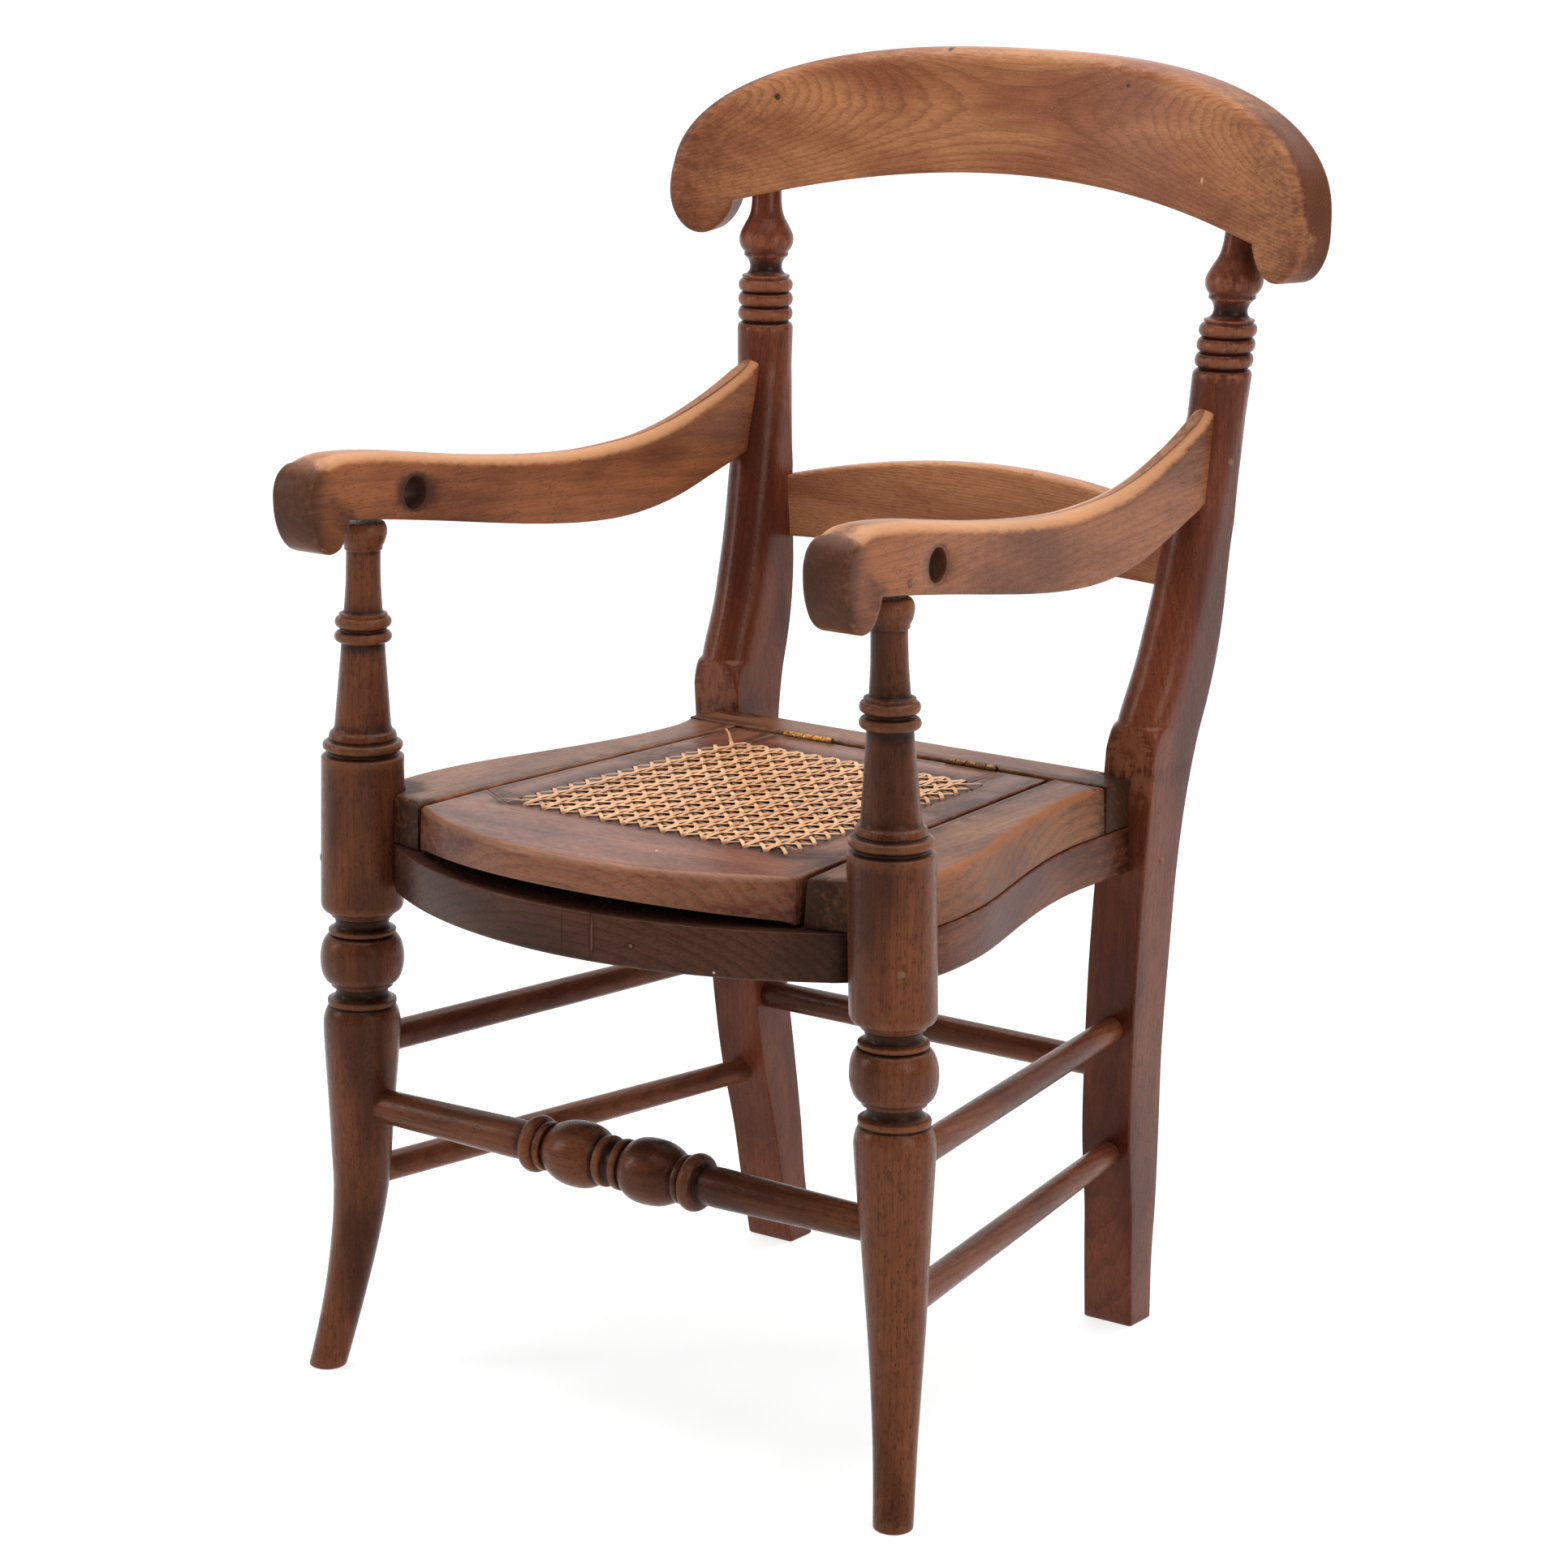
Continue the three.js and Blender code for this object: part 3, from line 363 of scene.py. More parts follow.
def filled(loops, spacing):
    """Triangles between the first loop and the others, with points spread over the inside."""
    low, high = loops[0].min(0) + spacing / 2, loops[0].max(0)
    spread = np.array([(x, y) for x in np.arange(low[0], high[0], spacing)
                       for y in np.arange(low[1], high[1], spacing)]).reshape(-1, 2)
    if len(spread):
        keep = inside(spread, loops[0])
        for loop in loops[1:]:
            keep &= ~inside(spread, loop)
        gap = np.hypot(*(spread[:, None] - np.vstack(loops)[None]).transpose(2, 0, 1)).min(1)
        spread = spread[keep & (gap > spacing * 0.35)]
    points = np.vstack([*loops, spread])
    edges, start = [], 0
    for loop in loops:
        count = len(loop)
        edges += [(start + i, start + (i + 1) % count) for i in range(count)]
        start += count
    outer = list(range(len(loops[0])))
    made = geometry.delaunay_2d_cdt([Vector(p) for p in points], edges, [outer], 1, 1e-7)
    origin = [o[0] for o in made[3]]
    faces = [tuple(origin[i] for i in face) for face in made[2]]
    for loop in loops[1:]:
        hidden = inside([points[list(face)].mean(0) for face in faces], loop)
        faces = [face for face, gone in zip(faces, hidden) if not gone]
    return spread, faces


def slab(outline, low, high, place, holes=(), spacing=14.0):
    """A board. Low and high give the two faces over the outline's plane; place puts it in space."""
    low_face, high_face = (
        face if callable(face) else lambda p, at=face: np.full(len(p), float(at))
        for face in (low, high)
    )
    rows, faces = [], []  # a row holds a ring's points, heights, wear, and grime with painted shade
    ends = ([], [], low_face, -1), ([], [], high_face, 1)
    total = 0
    turns = np.linspace(0, math.pi / 2, EDGE_STEPS)
    for loop in (outline, *holes):
        outward = 1 if loop is outline else -1
        b1, a1, b0, a0, lean, wear, grime_and_shade = loop.values.T
        steps = [
            (inset * (1 - math.sin(t)), depth * (1 - math.cos(t)), side, math.sin(2 * t) / 2 + 0.5)
            for inset, depth, side, angles in ((b0, a0, 0, turns), (b1, a1, 1, turns[::-1]))
            for t in angles
        ]
        if loop is outline:
            steps = [(b0 + MARGIN, 0 * a0, 0, 0.0), *steps, (b1 + MARGIN, 0 * a1, 1, 0.0)]
        start = total
        for inset, depth, side, rub in steps:
            leaning = lean * side if loop is outline else 0
            ring, source = loop.ring(outward * (inset + leaning))
            height = high_face(ring) - depth[source] if side else low_face(ring) + depth[source]
            dirt_and_shade = grime_and_shade[source] * (1 - 0.6 * rub if side else 1)
            rows.append((ring, height, wear[source] * rub, dirt_and_shade))
            total += len(ring)
        sides = len(source)
        for face in skin(len(steps), sides):
            faces.append(tuple(start + i for i in face[::outward]))
        for (rings, ids, *_), row, first in zip(ends, (rows[-len(steps)], rows[-1]),
                                                (start, total - sides)):
            rings.append(row[0])
            ids += range(first, first + sides)
    for rings, ids, face_height, order in ends:
        spread, triangles = filled(rings, spacing)
        if len(spread):
            ids += range(total, total + len(spread))
            total += len(spread)
            clean = np.zeros(len(spread))
            rows.append((spread, face_height(spread), clean, clean))
        faces += [tuple(ids[i] for i in face[::order]) for face in triangles]
    flat, heights, wear, grime_and_shade = (np.concatenate(column) for column in zip(*rows))
    return Solid(place(flat, heights), faces, wear, grime_and_shade)


def board(runs, low, high, holes=()):
    """A level board with its outline seen from above."""
    return slab(Outline(runs, spacing=18), low, high, level, holes)


def flipped(run):
    """A run of an outline on the other side, in the order that carries on round it."""
    return [(-x, y) for x, y in run[::-1]]


def level(flat, height):
    return np.column_stack([flat, height])


def upright(flat, height):
    """For outlines drawn in YZ, with their thickness along X."""
    return np.column_stack([height, flat])


# ---- Pieces ----


def placed(name, data):
    """An object in the scene."""
    made = bpy.data.objects.new(name, data)
    bpy.context.scene.collection.objects.link(made)
    return made


def piece(name, solids, body, material, replaces=None, sharp=38.0):
    """Makes a mesh object from solids, ties it to its body, and hides the CAD node that it
    replaces.
    """
    solids = solids if isinstance(solids, list) else [solids]
    points, faces, start = [], [], 0
    for solid in solids:
        order = -1 if solid.volume() < 0 else 1
        faces += [tuple(start + i for i in face[::order]) for face in solid.faces]
        points.append(metres(solid.points))
        start += len(solid.points)
    mesh = bpy.data.meshes.new(name)
    mesh.from_pydata(np.vstack(points).tolist(), [], faces)
    for kind, width, key in (("grain", "FLOAT_VECTOR", "vector"), ("wear", "FLOAT", "value"),
                             ("grime_and_shade", "FLOAT", "value")):
        values = np.concatenate([getattr(s, kind) for s in solids]).astype(np.float32)
        mesh.attributes.new(kind, width, "POINT").data.foreach_set(key, values.ravel())
    mesh.shade_smooth()
    mesh.set_sharp_from_angle(angle=math.radians(sharp))
    mesh.materials.append(material)
    made = placed(name, mesh)
    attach(made, body)
    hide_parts(replaces or name)


def pair(name, solid, body, material, along="z", offsets=((0, 0), (0, 0)), tilt=0.0):
    """The right-hand piece and its mirror image, each cut from its own timber."""
    for hand, offset in zip(("right", "left"), offsets):
        one = solid if hand == "right" else solid.mirrored()
        piece(f"{hand}_{name}", one.grained(along, offset, tilt), body, material)


# ---- Materials ----


def rgb(red, green, blue):
    """An 8-bit screen colour as linear values."""
    def linear(value):
        value /= 255
        return value / 12.92 if value <= 0.04045 else ((value + 0.055) / 1.055) ** 2.4
    return (linear(red), linear(green), linear(blue), 1.0)


class Shader:
    """A node tree with short calls for the few nodes that the looks need."""

    def __init__(self, owner):
        owner.use_nodes = True
        self.owner = owner
        self.tree = owner.node_tree

    def fill(self, socket, value):
        """Links a socket or sets its value. A colour may be given as 8-bit screen values."""
        if isinstance(value, bpy.types.NodeSocket):
            self.tree.links.new(value, socket)
        elif socket.type == "RGBA" and len(value) == 3:
            socket.default_value = rgb(*value)
        else:
            socket.default_value = value

    def node(self, kind, inputs=None, **settings):
        made = self.tree.nodes.new(kind)
        for key, value in settings.items():
            setattr(made, key, value)
        for key, value in (inputs or {}).items():
            self.fill(made.inputs[key], value)
        return made

    def attribute(self, name, output="Fac"):
        return self.node("ShaderNodeAttribute", attribute_name=name).outputs[output]

    def place(self, output="Object"):
        return self.node("ShaderNodeTexCoord").outputs[output]

    def vector(self, operation, *values, output=0):
        inputs = dict(enumerate(values))
        return self.node("ShaderNodeVectorMath", inputs, operation=operation).outputs[output]

    def scaled(self, vector, *scale):
        return self.vector("MULTIPLY", vector, scale)

    def noise(self, vector, scale, detail=2.0, roughness=0.5):
        inputs = {"Vector": vector, "Scale": scale, "Detail": detail, "Roughness": roughness}
        return self.node("ShaderNodeTexNoise", inputs).outputs["Fac"]

    def ramp(self, value, low, high, start=0.0, end=1.0):
        inputs = {"Value": value, "From Min": low, "From Max": high, "To Min": start, "To Max": end}
        return self.node("ShaderNodeMapRange", inputs, interpolation_type="SMOOTHSTEP").outputs[0]

    def math(self, operation, a, b):
        return self.node("ShaderNodeMath", {0: a, 1: b}, operation=operation).outputs[0]

    def times(self, a, b):
        return self.math("MULTIPLY", a, b)

    def mix(self, share, a, b):
        return self.node("ShaderNodeMix", {0: share, 6: a, 7: b}, data_type="RGBA").outputs[2]

    def bump(self, height, distance, strength, normal=None):
        inputs = {"Height": height, "Distance": distance, "Strength": strength}
        if normal is not None:
            inputs["Normal"] = normal
        return self.node("ShaderNodeBump", inputs).outputs[0]

    def finish(self, node="Principled BSDF", **sockets):
        for key, value in sockets.items():
            self.fill(self.tree.nodes[node].inputs[key.replace("_", " ")], value)
        return self.owner


SHEEN = (1.0, 0.62, 0.45, 1.0)  # the tint of the polish's reflection


def spotted(s, colour, marks):
    """Lays small knots, dents and cracks over a colour. A mark is an ellipsoid in millimetres."""
    place = s.place()
    for centre, reach, tint in marks:
        scale = [1000 / r for r in reach]
        shift = [-(c - d) / r for c, d, r in zip(centre, (0, DEPTH_MIDDLE, 0), reach)]
        inner = s.vector("MULTIPLY_ADD", place, scale, shift)
        away = s.vector("LENGTH", inner, output="Value")
        rough = s.noise(s.scaled(place, 1000, 1000, 1000), 0.5)
        away = s.math("ADD", away, s.times(rough, 0.8))
        colour = s.mix(s.ramp(away, 0.85, 1.4, 0.85, 0.0), colour, tint)
    return colour


def wood(name, base, warm, line, worn_and_sheen, dirt_and_shade, gloss, ring=0.095, figure=0.45, fleck=0.4,
         coat=0.0, wear=0.6, dirtiness=0.85, blotch=0.3, patchy=1.0, specular=0.12, stain=0.2,
         marks=()):
    """Stained beech. Ring is about 0.3 divided by the width of a growth ring.

    The colours are the ground's two tones, the dark lines, the worn places, which also paint sheen
    on some top edges, and the dirt, which also paints shade in grooves and corners.
    """
    s = Shader(bpy.data.materials.new(name))
    grain = s.attribute("grain", "Vector")
    wave = s.node("ShaderNodeTexWave", {
        "Vector": s.scaled(grain, 1, 1, 0.06), "Scale": ring, "Distortion": 3.2, "Detail": 3.0,
        "Detail Scale": 0.9, "Detail Roughness": 0.55,
    }, wave_type="RINGS", rings_direction="Z", wave_profile="SAW").outputs["Fac"]
    broad = s.noise(s.scaled(grain, 1, 1, 0.3), 0.03, 3.0, 0.55)
    fibre = s.noise(s.scaled(grain, 1, 1, 0.03), 1.6, 4.0, 0.65)
    mark = s.noise(s.scaled(grain, 1, 1, 0.5), 0.3, 5.0, 0.7)
    fine = s.noise(s.scaled(grain, 1, 1, 0.35), 2.2, 3.0, 0.6)
    spots = {"Vector": s.scaled(grain, 1.1, 1.1, 0.26), "Scale": 1.0}
    cells = s.node("ShaderNodeTexVoronoi", spots)
    chosen = s.node("ShaderNodeSeparateColor", {0: cells.outputs["Color"]}).outputs[0]
    dash = s.times(s.ramp(cells.outputs["Distance"], 0.12, 0.34, 1.0, 0.0),
                  s.ramp(chosen, 0.3, 0.7))
    colour = s.mix(s.ramp(broad, 0.36, 0.66), base, warm)
    colour = s.mix(s.times(s.ramp(wave, 0.45, 1.0), figure), colour, line)
    colour = s.mix(s.times(s.ramp(fibre, 0.42, 0.72), 0.46), colour, line)
    colour = s.mix(s.times(dash, fleck), colour, line)
    colour = s.mix(s.times(s.ramp(fine, 0.52, 0.72), 0.12), colour, worn_and_sheen)
    colour = s.mix(s.times(s.ramp(mark, 0.48, 0.72), stain), colour, line)
    # The worn colour marks rubbed edges; on the tops of the arms and the crest it is also a painted
    # sheen.
    worn_and_sheen_here = s.attribute("wear")
    worn_and_sheen_here = s.math("ADD", worn_and_sheen_here, s.ramp(mark, 0.25, 0.75, -0.55 * patchy, 0.35 * patchy))
    worn_and_sheen_here = s.times(s.ramp(worn_and_sheen_here, 0.25, 0.85), wear)
    colour = s.mix(worn_and_sheen_here, colour, worn_and_sheen)
    # Grime and painted shade: the grime attribute darkens towards the dirt colour, for real dirt
    # and for shade painted into grooves, corners and contacts.
    dirt_and_shade_amount = s.math("ADD", s.attribute("grime_and_shade"), s.ramp(mark, 0.3, 0.8, blotch, -blotch))
    dirt_and_shade_amount = s.times(s.ramp(dirt_and_shade_amount, 0.2, 0.9), dirtiness)
    colour = spotted(s, s.mix(dirt_and_shade_amount, colour, dirt_and_shade), marks)
    rough = s.math("ADD", s.ramp(mark, 0.2, 0.8, gloss - 0.06, gloss + 0.1),
                   s.times(s.math("MAXIMUM", dirt_and_shade_amount, worn_and_sheen_here), 0.18))
    height = s.math("SUBTRACT", s.times(fibre, 0.5), s.times(dash, 0.5))
    normal = s.bump(height, 0.0003, 0.5)
    normal = s.bump(mark, 0.0008, 0.25, normal)
    return s.finish(Base_Color=colour, Roughness=rough, Normal=normal, Coat_Weight=coat,
                    Coat_Roughness=0.2, Specular_IOR_Level=specular, Specular_Tint=SHEEN)


DARK_MARK = (34, 18, 12)
PALE_MARK = (214, 190, 164)
THROUGH = 40.0  # the reach of a mark that goes through the thickness of its piece
CREST_MARKS = [
    ((-130, 160, 592), (2.6, THROUGH, 2.2), DARK_MARK),
    ((-41, 175, 619), (2, THROUGH, 1.6), DARK_MARK),
    ((67, 170, 607), (1.6, THROUGH, 1.3), DARK_MARK),
    ((117, 165, 566), (1.2, THROUGH, 2.4), (196, 152, 116)),
]
SEAT_MARKS = [((-124, -60, 274), (0.6, 4, THROUGH), DARK_MARK)]
LID_MARKS = [
    ((10.5, -174, 286), (0.7, 4, 8), DARK_MARK), ((30, -148, 286), (0.9, 0.8, 6), PALE_MARK),
    ((62, -178, 285), (26, 2.5, 2.5), (138, 116, 100)),
]
RAIL_MARKS = [
    ((5, -184, 252), (0.5, 30, 20), DARK_MARK), ((40, -180, 251), (3.2, 30, 2.2), DARK_MARK),
    ((40.4, -180, 251), (1.2, 30, 0.9), (112, 78, 60)),
    ((21, -183, 252), (2.2, 30, 18), DARK_MARK), ((21, -183, 253), (0.8, 30, 12), (98, 58, 42)),
    ((78, -170, 243), (0.7, 30, 0.7), PALE_MARK),
]

leg_wood = wood("leg_wood", (104, 58, 36), (58, 28, 18), (28, 14, 9), (134, 86, 56), (14, 8, 6),
                gloss=0.25, coat=0.05, figure=0.22, fleck=0.85, wear=0.22, specular=0.16,
                stain=0.5)
stile_wood = wood("stile_wood", (108, 56, 37), (74, 33, 22), (36, 16, 10), (146, 92, 66),
                  (18, 9, 6), gloss=0.22, coat=0.08, figure=0.24, fleck=0.65, wear=0.45,
                  specular=0.16, stain=0.4)
# The pale worn colours of the arms and the crest also paint the sheen on their top edges.
arm_wood = wood("arm_wood", (144, 88, 56), (98, 54, 34), (62, 32, 19), (198, 146, 104),
                (48, 31, 26), ring=0.12, figure=0.24, gloss=0.28, fleck=0.65, coat=0.03,
                blotch=0.12, patchy=0.35)
crest_wood = wood("crest_wood", (174, 118, 80), (132, 78, 54), (98, 55, 36), (226, 182, 142),
                  (62, 29, 20), ring=0.2, figure=0.38, gloss=0.3, coat=0.05, blotch=0.2,
                  patchy=0.35, marks=CREST_MARKS)
seat_wood = wood("seat_wood", (126, 84, 58), (92, 52, 35), (50, 31, 22), (146, 92, 60),
                 (24, 15, 11), gloss=0.34, coat=0.04, figure=0.35, fleck=0.6, patchy=0.7,
                 marks=SEAT_MARKS)
lid_wood = wood("lid_wood", (126, 78, 56), (80, 35, 23), (44, 24, 17), (158, 124, 100),
                (22, 13, 9), gloss=0.3, coat=0.08, figure=0.3, wear=0.28, patchy=0.6,
                stain=0.35, fleck=0.55, marks=LID_MARKS)
side_rail_wood = wood("side_rail_wood", (112, 64, 42), (78, 38, 25), (36, 19, 13), (146, 96, 68),
                      (14, 8, 6), gloss=0.28, coat=0.05, figure=0.3)
rail_wood = wood("rail_wood", (72, 43, 32), (50, 27, 20), (25, 15, 11), (100, 68, 50), (14, 8, 6),
                 gloss=0.27, coat=0.05, figure=0.4, fleck=0.7, wear=0.45, specular=0.14,
                 stain=0.4, marks=RAIL_MARKS)
peg_wood = wood("peg_wood", (150, 118, 92), (124, 90, 66), (70, 46, 34), (168, 140, 116),
                (44, 28, 20), gloss=0.5, dirtiness=0.4)


def cane_material():
    s = Shader(bpy.data.materials.new("cane_strands"))
    grain = s.attribute("grain", "Vector")
    streak = s.noise(s.scaled(grain, 1, 1, 0.02), 2.6, 4.0, 0.6)
    patch = s.noise(s.scaled(grain, 0.2, 0.2, 0.2), 0.35, 3.0, 0.6)
    colour = s.mix(s.ramp(streak, 0.3, 0.7), (178, 118, 70), (132, 78, 43))
    colour = s.mix(s.times(s.ramp(patch, 0.45, 0.75), 0.6), colour, (104, 60, 36))
    colour = s.mix(s.attribute("wear"), colour, (228, 180, 130))
    # The grime attribute darkens the cane: painted shade on the lower strands, and a darker run
    # along the front loose end.
    colour = s.mix(s.times(s.attribute("grime_and_shade"), 0.85), colour, (72, 42, 26))
    normal = s.bump(streak, 0.0001, 0.6)
    return s.finish(Base_Color=colour, Roughness=0.38, Normal=normal, Coat_Weight=0.1,
                    Coat_Roughness=0.25, Specular_IOR_Level=0.3)


def brass_material(name, clean, dull):
    s = Shader(bpy.data.materials.new(name))
    place = s.scaled(s.place(), 1000, 1000, 1000)
    tarnish = s.noise(place, 0.35, 4.0, 0.65)
    brushed = s.noise(s.scaled(place, 0.1, 1, 1), 3.0, 2.0)
    colour = s.mix(s.ramp(tarnish, 0.38, 0.66), clean, dull)
    rough = s.ramp(tarnish, 0.35, 0.7, 0.28, 0.6)
    normal = s.bump(brushed, 0.00008, 0.4)
    return s.finish(Base_Color=colour, Roughness=rough, Normal=normal, Metallic=1.0)


cane_strands = cane_material()
brass = brass_material("brass", (196, 142, 78), (118, 80, 46))
tarnished = brass_material("tarnished_brass", (122, 90, 60), (66, 46, 34))

# ---- Front legs ----

LEG_HEIGHT = 183.0  # where the leg's middle is measured
LEG_MIDDLE = (152.5, -137.3)
LEG_LEAN = (-0.0265, -0.0128)
SABRE_HEIGHT = 95.0
SABRE_KICK = (7.7, -15.8)
SABRE_POWER = 1.55


def front_leg_axis(z):
    z = np.asarray(z, float)
    kick = np.maximum(0, (SABRE_HEIGHT - z) / SABRE_HEIGHT) ** SABRE_POWER
    x, y = (middle + lean * (z - LEG_HEIGHT) + reach * kick
            for middle, lean, reach in zip(LEG_MIDDLE, LEG_LEAN, SABRE_KICK))
    return np.stack([x, y, z], -1)


FRONT_LEG = [
    (0, 5.5), (0, 7.8), (0.8, 9),
    *curve([(1, 9), (33, 9.9), (66, 11.7), (100, 13.9), (130, 15.7), (160, 17.75), (170, 18.25),
            (174.5, 18), (178, 17.1), (180, 16)]),
    (180.4, 15.2), (180.9, 15.2), (181.2, 16.3), (183.6, 16.3),
    *sweep((183.8, 16), (188, 12.1)), (189.6, 12.1), (189.9, 14.6), (191.4, 14.9),
    *bead((191.8, 14.8), (215.4, 14.9), 19.8), (215.9, 14.4), (216.3, 15.9), (218.2, 15.9),
    *sweep((218.4, 15.6), (221.3, 12.5)), (224, 13.2), (224.3, 14.6), (225.4, 14.6),
    (225.7, 15.8), (226.6, 15.8), *sweep((226.8, 16.2), (231.5, 19.5)), (302, 19.5),
    (302.6, 18.6), (303.1, 16.5), (304.6, 16.5), *bead((304.9, 16.7), (309.6, 16.7), 18.9),
    (309.9, 15.6), (310.7, 15.6), (311, 16.2), (313.6, 15.5), *sweep((314, 15.2), (318, 13.2)),
    (356.3, 10.15), *bead((356.6, 10.9), (361.9, 11.2), 13.5), (362.5, 10.9), (363.3, 10.9),
    *bead((363.6, 11.2), (368.9, 11), 13.3), (369.2, 11.4), (370.3, 11.4), (370.6, 9.6),
    (371.2, 9.05), (385, 8.2), (400, 8), (400.3, 9), (402.2, 9),
    *curve([(402.5, 9.4), (405, 10.4), (408.5, 11.1), (411, 10.8), (413.2, 9.7)]), (413.2, 5),
]
pair("front_leg", revolved(profile(FRONT_LEG), front_leg_axis, RIGHT, BACK), "frame", leg_wood,
     offsets=((-120, 170), (-190, 90)))

# ---- Rear legs ----

REAR_LEG_FRONT = [
    (0, 130), (36, 124), (60, 120.5), (100, 112), (150, 106.5), (190, 103.6), (230, 102.6),
    (290, 102.4), (304, 102.2), (312, 101.8), (318, 103.9), (326, 107.7), (338, 113.2),
    (354, 118.5), (370, 123.3), (402, 130.7), (455, 141.9),
]
REAR_LEG_BACK = [
    (0, 149), (36, 145), (60, 144), (100, 140.5), (145, 136), (200, 134.5), (245, 134.5),
    (285, 139), (304, 143.5), (320, 149), (335, 153), (350, 155.5), (402, 158.5), (455, 169.9),
]
REAR_LEG_HALF = 27.5 / 2
REAR_LEG_FOOT_X = 90.0  # the inner side at the floor
REAR_LEG_SPLAY = 0.0636
ARCH_BOTTOM = 290.0  # the square front ends in a round arch
ARCH_HEIGHT = 22.0
BACK_ROUND_BOTTOM = 402.0  # above this the back turns round
ARRIS = 1.1
SECTION_STEPS = 7
SIDE_STEPS = 4
STILE_BOTTOM = 455.0
STILE_FOOT = (132.7, 155.9)
STILE_LEAN = (0.061, 0.0875)


def stile_axis(z):
    rise = np.asarray(z, float) - STILE_BOTTOM
    x, y = (foot + lean * rise for foot, lean in zip(STILE_FOOT, STILE_LEAN))
    return np.stack([x, y, rise + STILE_BOTTOM], -1)


def rounded_section(half_x, half_y, front, back):
    """Points of a rounded rectangle, from the right-hand back corner anticlockwise."""
    corners = []
    for quarter, (sx, sy, radius) in enumerate(
        ((1, 1, back), (-1, 1, back), (-1, -1, front), (1, -1, front))
    ):
        radius = min(radius, half_x - 0.3, half_y - 0.3)
        centre = (sx * (half_x - radius), sy * (half_y - radius))
        corners.append(arc(centre, radius, 90 * quarter, 90 * quarter + 90, SECTION_STEPS))
    made = []
    for corner, following in zip(corners, corners[1:] + corners[:1]):
        made += corner
        side = np.linspace(corner[-1], following[0], SIDE_STEPS + 1)
        made += side[1:-1].tolist()
    return np.array(made)


STILE = [
    (455.5, 13.85), (474.6, 14.2), *sweep((478.2, 12.2), (475.2, 14.2))[::-1], (478.5, 11.7),
    (478.9, 11.7), *bead((479.2, 12), (486, 12), 14), (486.3, 11.7),
    *bead((486.6, 12), (493.2, 12), 14), (493.5, 11.7), *bead((493.8, 12), (500, 12), 13.9),
    (500.4, 11.6), (500.7, 12.2), (502, 12.2), *curve([(502.2, 10.4), (504, 8.6), (506.8, 8.1),
    (509.4, 9), (511.3, 10.6)]), (511.5, 11.3), (513.2, 11.3),
    *curve([(513.4, 11), (516, 13), (519.5, 13.9), (523, 13.3), (527, 11.4), (531, 9.2),
            (536, 7.9), (545, 7.45), (566, 7.2)]),
]


def rear_leg():
    rings, wear, grime_and_shade = [], [], []
    heights = np.concatenate([
        [0, 0.8], np.arange(6, 288, 7), np.arange(ARCH_BOTTOM, 315, 0.7), np.arange(318, 402, 4),
        np.arange(BACK_ROUND_BOTTOM, STILE_BOTTOM + 0.1, 3.2),
    ])
    for z in heights:
        front, back = interpolate(REAR_LEG_FRONT, z), interpolate(REAR_LEG_BACK, z)
        up_arch = min(max((z - ARCH_BOTTOM) / ARCH_HEIGHT, 0), 1)
        front_radius = max(ARRIS, REAR_LEG_HALF * (1 - math.sqrt(1 - up_arch * up_arch)))
        rounding = min(max((z - BACK_ROUND_BOTTOM) / (STILE_BOTTOM - BACK_ROUND_BOTTOM), 0), 1)
        back_radius = max(ARRIS, REAR_LEG_HALF * rounding)
        shrink = 0.7 if z == 0 else 0
        section = rounded_section(REAR_LEG_HALF - shrink, (back - front) / 2 - shrink,
                                  front_radius, back_radius)
        middle = (REAR_LEG_FOOT_X + REAR_LEG_SPLAY * z + REAR_LEG_HALF, (front + back) / 2)
        rings.append(np.column_stack([section + middle, np.full(len(section), z)]))
        wear.append(0.1)
        # Darker just above the seat's top and towards the floor: dirt, and painted shade where the
        # leg meets the seat and the floor.
        grime_and_shade.append(0.35 * math.exp(-((z - ARCH_BOTTOM + 2) / 9) ** 2) + 0.25 * math.exp(-z / 20))
    around = section / np.hypot(*section.T)[:, None]
    for z, radius, relief in profile(STILE):
        axis = stile_axis(z)
        rings.append(np.column_stack([around * radius + axis[:2], np.full(len(around), z)]))
        # Crowns are worn; grooves darken with their depth, as dirt and painted shade.
        wear.append(min(max(relief / RELIEF_WORN, 0), 1))
        grime_and_shade.append(min(max(-relief / RELIEF_DARKEST, 0), 1))
    made = stacked(rings, wear, grime_and_shade)
    x, y, z = made.points.T
    up_arch = np.clip((z - ARCH_BOTTOM) / ARCH_HEIGHT, 0, 1)
    middle = REAR_LEG_FOOT_X + REAR_LEG_SPLAY * z + REAR_LEG_HALF
    tongue = (
        (y < interpolate(REAR_LEG_FRONT, z) + 0.4) & (z < ARCH_BOTTOM + ARCH_HEIGHT + 1)
        & (np.abs(x - middle) < REAR_LEG_HALF * np.sqrt(1 - up_arch**2))
    )
    made.wear = np.where(tongue, np.clip((z - 262) / 30, 0, 0.8), made.wear)
    return made


pair("rear_leg", rear_leg(), "frame", stile_wood, offsets=((-95, -60), (-160, -150)))

# ---- Arms ----

